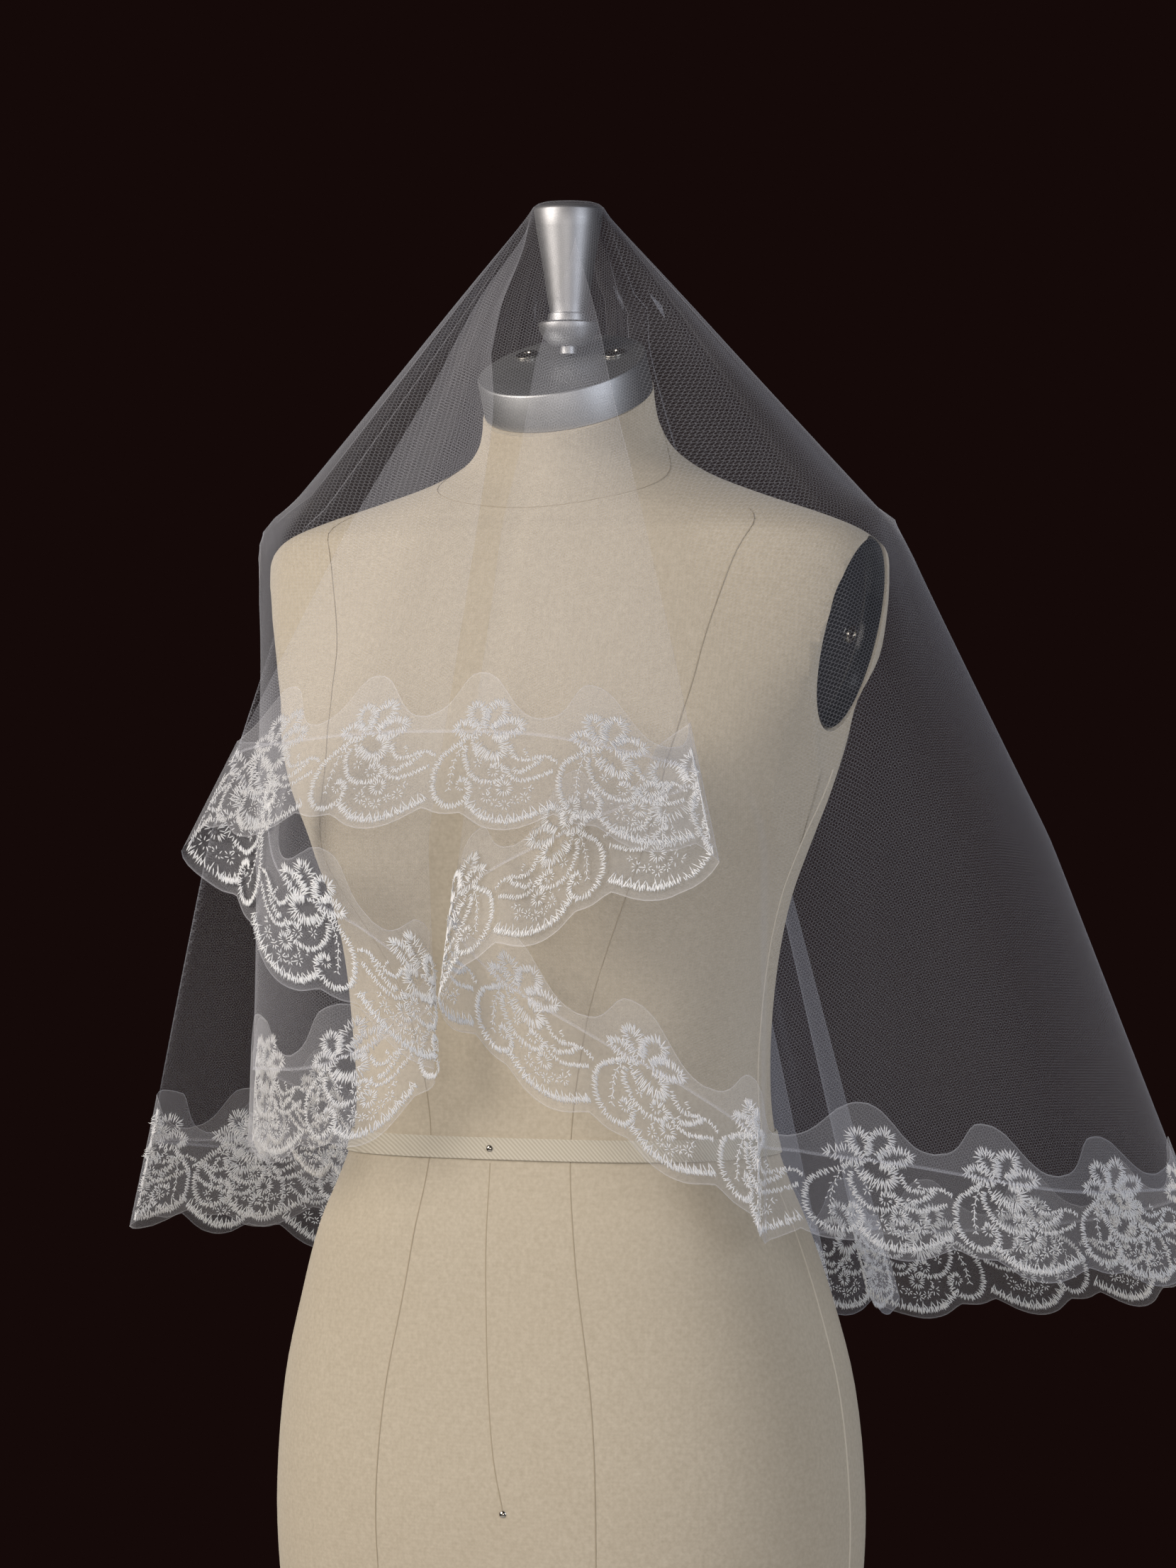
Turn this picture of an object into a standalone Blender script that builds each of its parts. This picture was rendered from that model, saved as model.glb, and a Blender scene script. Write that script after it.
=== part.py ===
"""Bridal veil with an embroidered edging, draped over the finial of a limbless dress form.

The form faces -Y and its pole stands on the Z axis, with the floor at Z = 0. Sizes are metres.
Tables say so where they are in millimetres. An azimuth is a plan angle in degrees, 0 to the
front and +90 to +X. A drop is measured down from the top of the veil.
"""
import math

import bmesh
import bpy
import numpy as np
from mathutils import Matrix, Vector

for old in list(bpy.data.objects):
    bpy.data.objects.remove(old, do_unlink=True)

MM = 0.001
GAP = 0.0003

# Heights that everything else is worked out from.
WAIST_Z = 1.040
VEIL_TOP_Z = 1.5676

# Stand. The base is turned, with its hub in one piece.
BASE_PROFILE = (
    # radius, height, in millimetres
    (0, 66),
    (22, 66),
    (26, 62),
    (29, 30),
    (36, 20),
    (54, 14),
    (195, 10),
    (203, 6),
    (205, 3),
    (204, 0),
    (0, 0),
)
POLE_RADIUS = 0.016
BASE_STEPS = 36
POLE_STEPS = 24

# Neck plate and finial. The plate leans forward.
PLATE_RADIUS = 0.0485
PLATE_THICKNESS = 0.022
PLATE_TILT = math.radians(25)
PLATE_TOP_Z = WAIST_Z + 0.435
PLATE_TOP_Y = -0.009
PLATE_BEVEL = 0.0012
PLATE_MARGIN = 8
PLATE_STEPS = 40
CUP_TOP_Z = VEIL_TOP_Z - 0.0013
CUP_PROFILE = (
    # radius, depth below the cup's top, in millimetres
    (0, 0),
    (13.5, 0.3),
    (17.3, 1.2),
    (19.5, 3.3),
    (18.3, 13.3),
    (11.4, 55.3),
    (10.4, 61.3),
    (11.6, 62.1),
    (11.6, 66.3),
    (0, 66.3),
)
COLLAR_PROFILE = (
    # radius, depth below the collar's top, in millimetres
    (0, 0),
    (16.0, 0),
    (17.0, 1.2),
    (16.6, 4.0),
    (14.0, 9.0),
    (9.5, 13.5),
    (4.8, 13.9),
)
STEM_RADIUS = 0.0048
FINIAL_STEPS = 26

# Arm plates. The plane of each one leans out towards the top.
ARM_MIDDLE_Z = WAIST_Z + 0.281
ARM_MIDDLE_X = 0.1705
ARM_MIDDLE_Y = 0.0075
ARM_LEAN = math.radians(14)
ARM_HALF_HEIGHT = 0.0555
ARM_HALF_DEPTH = 0.0400
ARM_RECESS = 0.010
ARM_PLATE_CLEARANCE = 0.0015
ARM_PLATE_DOME = 0.0060
ARM_PLATE_EDGE = 0.0020
ARM_PLATE_RINGS = 4
ARM_PLATE_STEPS = 28
ARM_SCREW_PROFILE = (
    # radius, height above the plate, in millimetres
    (0, 2.6),
    (3.6, 2.2),
    (5.2, 1.0),
    (5.2, 0),
    (0, 0),
)
ARM_SCREW_STEPS = 16
ARM_CUT_SIZE = (0.1, 0.3, 0.3)
ARM_CUT_STEPS = 40
ARM_FLAT_ABOVE = 200
ARM_FLAT_SIDEWAYS = 0.3

# Waist tape.
TAPE_WIDTH = 0.012
TAPE_THICKNESS = 0.0010
TAPE_TOP_Z = WAIST_Z + 0.003

# Bodice shape: millimetres, height above the waist, half width, depth in front and behind,
# powers of the section's curve there (2 is an ellipse), degrees that the section leans forward.
FORM_SECTIONS = (
    # height, half_width, front, back, front_power, back_power, lean
    (-300, 165, 104, 112, 2.3, 2.2, 0),
    (-247, 171, 111, 119, 2.3, 2.2, 0),
    (-200, 172, 114, 122, 2.3, 2.2, 0),
    (-140, 166, 110, 119, 2.4, 2.2, 0),
    (-90, 153, 104, 110, 2.6, 2.2, 0),
    (-50, 139, 99, 100, 2.9, 2.2, 0),
    (-20, 126, 93, 92, 2.9, 2.2, 0),
    (0, 120, 90, 88, 2.8, 2.2, 0),
    (25, 117, 90, 87, 2.9, 2.2, 0),
    (60, 118, 93, 90, 3.0, 2.1, 0),
    (100, 122, 98, 95, 2.9, 2.1, 0),
    (135, 130, 104, 98, 2.7, 2.1, 0),
    (165, 142, 109, 100, 2.7, 2.1, 0),
    (195, 156, 107, 101, 2.9, 2.0, 0),
    (222, 165, 101, 101, 2.9, 2.1, 0),
    (245, 172, 94, 101, 2.5, 2.1, 0),
    (270, 184, 85, 99, 2.1, 2.6, 0),
    (295, 190, 77, 94, 2.0, 2.6, 0),
    (316, 190, 71, 87, 2.0, 2.6, 0),
    (330, 186, 67, 81, 2.0, 2.6, 0),
    (340, 175, 64, 77, 2.0, 2.0, 0),
    (349, 151, 60, 72, 2.0, 2.0, 2),
    (359, 117, 57, 67, 2.0, 2.0, 5),
    (370, 83, 53, 61, 2.0, 2.0, 9),
    (381, 62, 50, 56, 2.0, 2.0, 14),
    (393, 52.5, 48.5, 51, 2.0, 2.0, 20),
    (405, 49.2, 47.8, 49, 2.0, 2.0, 24),
    (414.5, 48.3, 48.3, 48.3, 2.0, 2.0, 25),
)
FORM_SEGMENTS = 40
BUST_AZIMUTH = 34
BUST_HEIGHT = 158
BUST_PROUD = 24
BUST_SPREAD_AZIMUTH = 19
BUST_SPREAD_HEIGHT = 46

# Veil: one oval of tulle over the finial, with the edging sewn on all round.
CLOTH = 0.0010
EDGING_PROUD = CLOTH / 2 + GAP
CROWN_RINGS = ((0.0130, 0.0006), (0.0188, 0.0018))
RIM_RADIUS = 0.0226
RIM_DROP = 0.0070
SHOULDER_DROP = 0.190
BUST_DROP = 0.360
SHORT_FOLD = 0.035
HEM_SAMPLES = 3000
REPEATS = 45
COLUMNS_PER_REPEAT = 4
SCALLOP_DEPTH = 0.012
SCALLOP_PLACE = 0.62
BAND_HEIGHT = 0.0595
BAND_HUMP = 0.0245
HUMP_PLACE = 0.36
RAW_EDGE_ABOVE_HEM = 0.052
VEIL_CLEARS_BELOW = 470
VEIL_SPAN = 14
FORM_CLEARANCE = 0.0062
LAYER_STEP = 0.0028
MITRE_LIMIT = 1.4
COLLAR_DROPS = (0.030, 0.065)
NECK_DROPS = (0.110, 0.150)
SHOULDER_DROPS = (0.190, 0.214, 0.245)
SKIRT_SHARES = (0.13, 0.36, 0.68, 1.0)

# Folds of the veil in order round the hem, from the front towards +X. Azimuths in degrees:
# crown is where the line leaves the finial, over is where it passes the shoulders' height and
# line is where it hangs below. Reaches from the pole and the drop of the hem are millimetres,
# at the shoulder, at the bust and at the hem. Softness is the roundness of the line in plan,
# and layer counts outwards from the form.
FOLDS = (
    # name, softness, layer, crown, over, line, shoulder, bust, hem, hem_drop
    ("front", 1.0, 3, 0, 0, 0, 118, 192, 189, 354),
    ("front_right", 1.0, 3, 12, 24, 24, 120, 203, 203, 358),
    ("right_turn", 0.35, 3, 24, 46, 46, 121, 218, 226, 379),
    ("right_under", 1.0, 2, 34, 29, 29, 94, 172, 184, 402),
    ("right_centre_turn", 0.4, 1, 45, -2, -2, 80, 127, 152, 449),
    ("right_bust_near", 1.0, 0, 50, 6, 6, 74, 126, 122, 486),
    ("right_bust", 1.0, 0, 57, 28, 30, 86, 158, 134, 518),
    ("right_bust_side", 1.0, 0, 63, 46, 50, 99, 168, 158, 549),
    ("right_pleat", 0.4, 0, 67, 54, 61, 112, 176, 177, 576),
    ("right_pleat_in", 0.6, 0, 70, 57, 66, 116, 168, 164, 580),
    ("right_pleat_out", 0.5, 0, 74, 63, 71, 128, 177, 176, 582),
    ("right_side", 1.0, 0, 80, 79, 83, 184, 205, 218, 590),
    ("right_side_wide", 1.0, 0, 89, 96, 96, 190, 247, 300, 606),
    ("right_outermost", 0.6, 0, 98, 110, 110, 188, 272, 369, 611),
    ("right_back", 1.0, 0, 106, 125, 125, 158, 238, 338, 632),
    ("back_right", 1.0, 0, 115, 143, 143, 120, 190, 292, 646),
    ("flute_1_in", 0.8, 0, 123, 160, 160, 112, 166, 262, 652),
    ("flute_1", 0.7, 0, 134, 167, 167, 118, 200, 330, 654),
    ("flute_2_in", 0.8, 0, 145, 172, 172, 106, 154, 226, 655),
    ("flute_2", 0.7, 0, 157, 177, 177, 118, 208, 350, 659),
    ("flute_3_in", 0.8, 0, 168, 182, 182, 106, 156, 230, 656),
    ("flute_3", 0.7, 0, 180, 187, 187, 119, 210, 352, 660),
    ("flute_4_in", 0.8, 0, 191, 192, 192, 106, 154, 226, 655),
    ("flute_4", 0.7, 0, 203, 197, 197, 118, 208, 356, 658),
    ("flute_5_in", 0.8, 0, 214, 202, 202, 107, 156, 236, 652),
    ("flute_5", 0.7, 0, 226, 207, 207, 119, 202, 340, 650),
    ("flute_6_in", 0.8, 0, 237, 211, 211, 110, 160, 242, 642),
    ("back_left", 1.0, 1, 244, 218, 218, 128, 186, 280, 634),
    ("left_back", 1.0, 1, 250, 234, 234, 156, 214, 286, 618),
    ("left_back_wide", 1.0, 1, 257, 250, 252, 188, 226, 288, 602),
    ("left_outermost", 0.4, 1, 264, 259, 268, 191, 234, 291, 593),
    ("left_lobe", 1.0, 0, 270, 263, 256, 190, 208, 252, 594),
    ("left_back_turn", 0.5, 0, 276, 267, 238, 188, 180, 214, 590),
    ("left_arm_back", 1.0, 0, 282, 272, 258, 187, 190, 186, 566),
    ("left_arm", 1.0, 0, 289, 280, 278, 182, 187, 182, 548),
    ("left_arm_front", 0.5, 0, 298, 297, 299, 160, 172, 180, 543),
    ("left_bust", 1.0, 0, 306, 325, 325, 98, 163, 158, 538),
    ("left_bust_near", 1.0, 0, 310, 338, 338, 82, 136, 132, 520),
    ("left_centre_turn", 0.4, 1, 314, 350, 350, 88, 133, 124, 498),
    ("left_under_near", 1.0, 1, 319, 340, 340, 96, 152, 156, 464),
    ("left_under", 1.0, 2, 324, 328, 328, 108, 180, 192, 436),
    ("left_under_wide", 1.0, 2, 330, 318, 318, 118, 200, 206, 394),
    ("left_turn", 0.35, 3, 337, 314, 314, 132, 223, 226, 369),
    ("front_left", 1.0, 3, 348, 337, 337, 122, 206, 204, 357),
)


def compass(azimuth):
    """Unit plan direction of an azimuth in degrees."""
    angle = math.radians(azimuth)
    return Vector((math.sin(angle), -math.cos(angle), 0))


def hermite(start, end, start_slope, end_slope, share):
    """Cubic between two values, with slopes scaled to the stretch."""
    s2 = share * share
    s3 = s2 * share
    return (
        start * (2 * s3 - 3 * s2 + 1)
        + start_slope * (s3 - 2 * s2 + share)
        + end * (3 * s2 - 2 * s3)
        + end_slope * (s3 - s2)
    )


def form_row(height):
    """Section sizes of the bodice at a height above the waist, in millimetres."""
    rows = FORM_SECTIONS
    height = min(max(height, rows[0][0]), rows[-1][0])
    i = 0
    while i < len(rows) - 2 and rows[i + 1][0] < height:
        i += 1
    before = np.array(rows[max(i - 1, 0)], float)
    low = np.array(rows[i], float)
    high = np.array(rows[i + 1], float)
    after = np.array(rows[min(i + 2, len(rows) - 1)], float)
    step = high[0] - low[0]
    low_slope = (high - before) / (high[0] - before[0]) * step
    high_slope = (after - low) / (after[0] - low[0]) * step
    return hermite(low, high, low_slope, high_slope, (height - low[0]) / step)


def form_reach(azimuth, height):
    """How far the bodice reaches from the pole, in millimetres."""
    _, half_width, front, back, front_power, back_power, _ = form_row(height)
    way = compass(azimuth)
    depth, power = (front, front_power) if way.y < 0 else (back, back_power)
    reach = (
        (abs(way.x) / half_width) ** power + (abs(way.y) / depth) ** power
    ) ** (-1 / power)
    rise = math.exp(-(((height - BUST_HEIGHT) / BUST_SPREAD_HEIGHT) ** 2))
    for side in (-1, 1):
        turn = (azimuth - side * BUST_AZIMUTH + 180) % 360 - 180
        reach += BUST_PROUD * rise * math.exp(-((turn / BUST_SPREAD_AZIMUTH) ** 2))
    return reach


def arm_plane_x(height):
    """Distance of the arm plate's plane from the middle, in millimetres."""
    rise = height - (ARM_MIDDLE_Z - WAIST_Z) / MM
    return ARM_MIDDLE_X / MM + rise * math.tan(ARM_LEAN)


def plate_rim(azimuth):
    """Height above the waist and reach of the neck plate's upper rim, in millimetres."""
    way = compass(azimuth)
    depth = PLATE_RADIUS * math.cos(PLATE_TILT)
    reach = PLATE_TOP_Y * way.y + ((way.x / PLATE_RADIUS) ** 2 + (way.y / depth) ** 2) ** -0.5
    rise = PLATE_RADIUS * math.sin(PLATE_TILT) * way.y
    return (PLATE_TOP_Z + rise - WAIST_Z) / MM, reach / MM


def bare_reach(azimuth, height):
    """Reach of what the veil passes, in millimetres: bodice, arm planes and neck plate."""
    reach = form_reach(azimuth, height)
    sideways = abs(compass(azimuth).x)
    if height > ARM_FLAT_ABOVE and sideways > ARM_FLAT_SIDEWAYS:
        reach = min(reach, arm_plane_x(height) / sideways)
    rim_height, rim_reach = plate_rim(azimuth)
    if rim_height - PLATE_THICKNESS / MM - PLATE_MARGIN < height < rim_height + PLATE_MARGIN:
        reach = max(reach, rim_reach)
    if height > rim_height + PLATE_MARGIN:
        reach = 0
    return reach


def fold_line(fold, drop):
    """Plan point of one fold line at a drop, on straight runs between its reaches."""
    _, _, _, crown, over, line, shoulder, bust, hem, hem_drop = fold
    rim = compass(crown) * RIM_RADIUS
    stations = [
        (RIM_DROP, rim),
        (SHOULDER_DROP, compass(over) * shoulder * MM),
    ]
    if hem_drop * MM > BUST_DROP + SHORT_FOLD:
        stations.append((BUST_DROP, compass(line) * bust * MM))
    stations.append((hem_drop * MM, compass(line) * hem * MM))
    for (low, start), (high, end) in zip(stations, stations[1:]):
        if drop <= high or high == stations[-1][0]:
            return start.lerp(end, (drop - low) / (high - low))
    return stations[-1][1]


def fold_marks():
    """Running length of the hem at each fold, and the whole length round."""
    feet = []
    for fold in FOLDS:
        foot = fold_line(fold, fold[-1] * MM)
        feet.append(Vector((foot.x, foot.y, -fold[-1] * MM)))
    marks = [0.0]
    for i, foot in enumerate(feet):
        marks.append(marks[-1] + (feet[(i + 1) % len(feet)] - foot).length)
    return marks


MARKS = fold_marks()


def between_folds(values, softness, run):
    """Smooth closed curve through one value a fold, at a running length of the hem."""
    count = len(FOLDS)
    run = run % MARKS[-1]
    i = int(np.searchsorted(MARKS, run, side="right")) - 1
    i = min(i, count - 1)
    width = MARKS[i + 1] - MARKS[i]
    slopes = []
    for k in (i, i + 1):
        behind = MARKS[k % count] - MARKS[k % count - 1] if k % count else MARKS[-1] - MARKS[-2]
        ahead = MARKS[k % count + 1] - MARKS[k % count]
        change = values[(k + 1) % count] - values[(k - 1) % count]
        slopes.append(change / (behind + ahead) * softness[k % count] * width)
    start = values[i]
    end = values[(i + 1) % count]
    return hermite(start, end, slopes[0], slopes[1], (run - MARKS[i]) / width)


SOFTNESS = [fold[1] for fold in FOLDS]
LAYERS = [float(fold[2]) for fold in FOLDS]
HEM_DROPS = [fold[-1] * MM for fold in FOLDS]
EVEN = [1.0] * len(FOLDS)


def hem_drop(run):
    """Drop of the hem's mean line."""
    return between_folds(HEM_DROPS, EVEN, run)


def drape(run, drop):
    """Middle of the cloth at a running length of the hem and a drop, kept off the form."""
    lines = [fold_line(fold, drop) for fold in FOLDS]
    plan = between_folds(lines, SOFTNESS, run)
    height = (VEIL_TOP_Z - drop - WAIST_Z) / MM
    if height < VEIL_CLEARS_BELOW:
        azimuth = math.degrees(math.atan2(plan.x, -plan.y))
        layer = between_folds(LAYERS, EVEN, run)
        bare = max(bare_reach(azimuth, height), bare_reach(azimuth, height - VEIL_SPAN))
        least = bare * MM + FORM_CLEARANCE + LAYER_STEP * layer
        if plan.length < least:
            plan = plan.normalized() * least
    return Vector((plan.x, plan.y, VEIL_TOP_Z - drop))


def hem_runs():
    """Running length of each column, at equal steps of the real hem, with one on each fold."""
    runs = np.linspace(0, MARKS[-1], HEM_SAMPLES + 1)
    points = [drape(run, hem_drop(run)) for run in runs]
    length = np.zeros(HEM_SAMPLES + 1)
    for i in range(HEM_SAMPLES):
        length[i + 1] = length[i] + (points[i + 1] - points[i]).length
    columns = REPEATS * COLUMNS_PER_REPEAT
    even = np.interp(np.arange(columns) * length[-1] / columns, length, runs)
    for mark, softness in zip(MARKS, SOFTNESS):
        if softness < 1:
            even[int(np.argmin(np.abs(even - mark)))] = mark
    return list(even)


def repeat_wave(column, peak):
    """1 at a place within each repeat of the edging and 0 half a repeat away from it."""
    return 0.5 + 0.5 * math.cos(2 * math.pi * (column / COLUMNS_PER_REPEAT - peak))


def collection(name):
    made = bpy.data.collections.new(name)
    bpy.context.scene.collection.children.link(made)
    return made


VEIL_PARTS = collection("bridal_veil_on_dress_form")
CUTTERS = collection("cutters")


def finish(name, color, roughness, metallic=0.0):
    made = bpy.data.materials.new(name)
    made.use_nodes = True
    shader = made.node_tree.nodes["Principled BSDF"]
    shader.inputs["Base Color"].default_value = (*color, 1)
    shader.inputs["Roughness"].default_value = roughness
    shader.inputs["Metallic"].default_value = metallic
    return made


TULLE = finish("white_tulle", (0.86, 0.86, 0.90), 0.6)
EDGING = finish("embroidered_organza", (0.92, 0.92, 0.92), 0.5)
LINEN = finish("beige_linen", (0.52, 0.46, 0.37), 0.85)
TWILL = finish("twill_tape", (0.66, 0.62, 0.54), 0.8)
ALUMINIUM = finish("brushed_aluminium", (0.62, 0.62, 0.63), 0.3, 1.0)
ACRYLIC = finish("smoked_acrylic", (0.05, 0.05, 0.055), 0.12)
IRON = finish("painted_cast_iron", (0.03, 0.03, 0.03), 0.5)


def add(name, mesh, material, place=None):
    """Object of the veil or its form, from a mesh."""
    made = bpy.data.objects.new(name, mesh)
    VEIL_PARTS.objects.link(made)
    if place is not None:
        made.matrix_world = place
    made.data.materials.append(material)
    return made


def mesh_of(name, points, faces, smooth=True):
    mesh = bpy.data.meshes.new(name)
    mesh.from_pydata([tuple(p) for p in points], [], faces)
    mesh.validate()
    if smooth:
        mesh.shade_smooth()
    return mesh


def profile_at(rows, level, way=1):
    """Profile in metres from a table in millimetres, running up (1) or down (-1) from a level."""
    return [(radius * MM, level + way * run * MM) for radius, run in rows]


def turned(name, profile, material, steps, place=None):
    """Turned piece from (radius, height) pairs down its outer side, from axis to axis."""
    mesh = bpy.data.meshes.new(name)
    points = [(radius, 0, height) for radius, height in profile]
    mesh.from_pydata(points, [(i, i + 1) for i in range(len(points) - 1)], [])
    made = add(name, mesh, material, place)
    screw = made.modifiers.new("turn", "SCREW")
    screw.steps = steps
    screw.render_steps = steps
    screw.use_merge_vertices = True
    screw.merge_threshold = 0.00005
    screw.use_smooth_shade = True
    return made


def oval_cylinder(name, half_depth, half_height, length, place):
    """Cutter: an oval rod along its own X, reaching the length both ways from its origin."""
    mesh = bpy.data.meshes.new(name)
    rod = bmesh.new()
    bmesh.ops.create_cone(
        rod, cap_ends=True, segments=ARM_CUT_STEPS, radius1=1, radius2=1, depth=2 * length
    )
    bmesh.ops.rotate(rod, verts=rod.verts, matrix=Matrix.Rotation(math.pi / 2, 3, "Y"))
    bmesh.ops.scale(rod, verts=rod.verts, vec=(1, half_depth, half_height))
    rod.to_mesh(mesh)
    rod.free()
    made = bpy.data.objects.new(name, mesh)
    CUTTERS.objects.link(made)
    made.matrix_world = place
    made.hide_render = True
    made.display_type = "WIRE"
    return made


def block_cutter(name, size, place):
    mesh = bpy.data.meshes.new(name)
    block = bmesh.new()
    bmesh.ops.create_cube(block, size=1)
    bmesh.ops.scale(block, verts=block.verts, vec=size)
    block.to_mesh(mesh)
    block.free()
    made = bpy.data.objects.new(name, mesh)
    CUTTERS.objects.link(made)
    made.matrix_world = place
    made.hide_render = True
    made.display_type = "WIRE"
    return made


def cut(piece, cutter):
    taken = piece.modifiers.new(cutter.name, "BOOLEAN")
    taken.operation = "DIFFERENCE"
    taken.solver = "EXACT"
    taken.object = cutter


def arm_place(side):
    """Middle of an arm plate's plane, with its own X pointing out of the form."""
    lean = Matrix.Rotation(ARM_LEAN, 4, "Y")
    if side < 0:
        lean = Matrix.Rotation(math.pi, 4, "Z") @ lean
    return Matrix.Translation((side * ARM_MIDDLE_X, ARM_MIDDLE_Y, ARM_MIDDLE_Z)) @ lean


def form_point(azimuth, height, proud=0.0):
    """Point on the bodice, or outside it by the given length."""
    lean = math.radians(form_row(height)[-1])
    way = compass(azimuth)
    flat = way * (form_reach(azimuth, height) * MM + proud)
    rise = flat.y * math.tan(lean)
    return Vector((flat.x, flat.y, WAIST_Z + height * MM + rise))


def build_torso():
    """Padded bodice from hip to neck, covered in linen, cut flat and recessed at the arms."""
    points = []
    faces = []
    for row in FORM_SECTIONS:
        for k in range(FORM_SEGMENTS):
            points.append(form_point(k * 360 / FORM_SEGMENTS, row[0]))
    for j in range(len(FORM_SECTIONS) - 1):
        for k in range(FORM_SEGMENTS):
            here = j * FORM_SEGMENTS + k
            ahead = j * FORM_SEGMENTS + (k + 1) % FORM_SEGMENTS
            faces.append((here, ahead, ahead + FORM_SEGMENTS, here + FORM_SEGMENTS))
    top = (len(FORM_SECTIONS) - 1) * FORM_SEGMENTS
    faces.append(tuple(reversed(range(FORM_SEGMENTS))))
    faces.append(tuple(range(top, top + FORM_SEGMENTS)))
    torso = add("torso", mesh_of("torso", points, faces), LINEN)
    for side, word in ((-1, "right"), (1, "left")):
        place = arm_place(side)
        outward = Matrix.Translation((ARM_CUT_SIZE[0] / 2, 0, 0))
        cut(torso, block_cutter(f"arm_flat_{word}", ARM_CUT_SIZE, place @ outward))
        cut(
            torso,
            oval_cylinder(
                f"arm_recess_{word}", ARM_HALF_DEPTH, ARM_HALF_HEIGHT, ARM_RECESS, place
            ),
        )


def build_arm_plates():
    """Domed oval plate in each arm recess, held by one screw in its middle."""
    half_depth = ARM_HALF_DEPTH - ARM_PLATE_CLEARANCE
    half_height = ARM_HALF_HEIGHT - ARM_PLATE_CLEARANCE
    floor = GAP - ARM_RECESS
    profile = [(0.0, ARM_PLATE_EDGE + ARM_PLATE_DOME)]
    for k in range(1, ARM_PLATE_RINGS + 1):
        share = k / ARM_PLATE_RINGS
        rise = ARM_PLATE_DOME * (1 - share * share)
        profile.append((share, ARM_PLATE_EDGE + rise))
    profile.append((1.0, 0.0))
    profile.append((0.0, 0.0))
    stand_up = Matrix.Rotation(math.pi / 2, 4, "Y")
    for side, word in ((-1, "right"), (1, "left")):
        place = arm_place(side) @ Matrix.Translation((floor, 0, 0)) @ stand_up
        oval = Matrix.Diagonal((half_height, half_depth, 1, 1))
        turned(f"arm_plate_{word}", profile, ACRYLIC, ARM_PLATE_STEPS, place @ oval)
        head = profile_at(ARM_SCREW_PROFILE, ARM_PLATE_EDGE + ARM_PLATE_DOME + GAP)
        turned(f"arm_screw_{word}", head, ALUMINIUM, ARM_SCREW_STEPS, place)


def build_neck():
    """Round aluminium plate that closes the neck."""
    tilt = Matrix.Rotation(PLATE_TILT, 4, "X")
    place = Matrix.Translation((0, PLATE_TOP_Y, PLATE_TOP_Z)) @ tilt
    profile = [
        (0.0, 0.0),
        (PLATE_RADIUS - PLATE_BEVEL, 0.0),
        (PLATE_RADIUS, -PLATE_BEVEL),
        (PLATE_RADIUS, -PLATE_THICKNESS),
        (0.0, -PLATE_THICKNESS),
    ]
    turned("neck_plate", profile, ALUMINIUM, PLATE_STEPS, place)


def build_finial():
    """Turned finial: a stem and bowl collar, and a tapered cup that the veil rests on."""
    turned("finial_cup", profile_at(CUP_PROFILE, CUP_TOP_Z, -1), ALUMINIUM, FINIAL_STEPS)
    collar_top = CUP_TOP_Z - CUP_PROFILE[-1][1] * MM - GAP
    lean_drop = STEM_RADIUS * math.tan(PLATE_TILT)
    plate_here = PLATE_TOP_Z - PLATE_TOP_Y * math.tan(PLATE_TILT)
    stem_foot = plate_here + lean_drop + GAP
    collar = profile_at(COLLAR_PROFILE, collar_top, -1)
    collar += [(STEM_RADIUS, stem_foot), (0.0, stem_foot)]
    turned("finial_collar", collar, ALUMINIUM, FINIAL_STEPS)


def build_tape():
    """Waist tape round the bodice."""
    points = []
    faces = []
    top = (TAPE_TOP_Z - WAIST_Z) / MM
    foot = top - TAPE_WIDTH / MM
    corners = (
        (foot, GAP * 2),
        (foot, GAP * 2 + TAPE_THICKNESS),
        (top, GAP * 2 + TAPE_THICKNESS),
        (top, GAP * 2),
    )
    for k in range(FORM_SEGMENTS):
        for height, proud in corners:
            points.append(form_point(k * 360 / FORM_SEGMENTS, height, proud))
    for k in range(FORM_SEGMENTS):
        here = 4 * k
        ahead = 4 * ((k + 1) % FORM_SEGMENTS)
        for c in range(4):
            d = (c + 1) % 4
            faces.append((here + c, ahead + c, ahead + d, here + d))
    add("waist_tape", mesh_of("waist_tape", points, faces, smooth=False), TWILL)


def build_stand():
    """Round cast base with its hub, and the pole up to the bodice."""
    torso_foot = WAIST_Z + FORM_SECTIONS[0][0] * MM
    hub_top = BASE_PROFILE[0][1] * MM
    turned("base", profile_at(BASE_PROFILE, 0), IRON, BASE_STEPS)
    pole = [
        (0.0, torso_foot - GAP),
        (POLE_RADIUS, torso_foot - GAP),
        (POLE_RADIUS, hub_top + GAP),
        (0.0, hub_top + GAP),
    ]
    turned("pole", pole, ALUMINIUM, POLE_STEPS)


def cloth_normals(grid, rings):
    """Outward normals at the points of rings, stretched a little at folds.

    Both sides of a point count the same, so that a tight fold keeps its walls apart.
    """
    normals = [Vector((0, 0, 1))] * len(grid)
    for j, ring in enumerate(rings):
        upper = rings[j - 1] if j else None
        lower = rings[j + 1] if j + 1 < len(rings) else None
        for k, i in enumerate(ring):
            above = grid[upper[k * len(upper) // len(ring)]] if upper else grid[0]
            below = grid[lower[k * len(lower) // len(ring)]] if lower else grid[i]
            rise = above - below
            left = (grid[i] - grid[ring[k - 1]]).cross(rise).normalized()
            right = (grid[ring[(k + 1) % len(ring)]] - grid[i]).cross(rise).normalized()
            middle = (left + right).normalized()
            normals[i] = middle / max(middle.dot(left), 1 / MITRE_LIMIT)
    return normals


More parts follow.
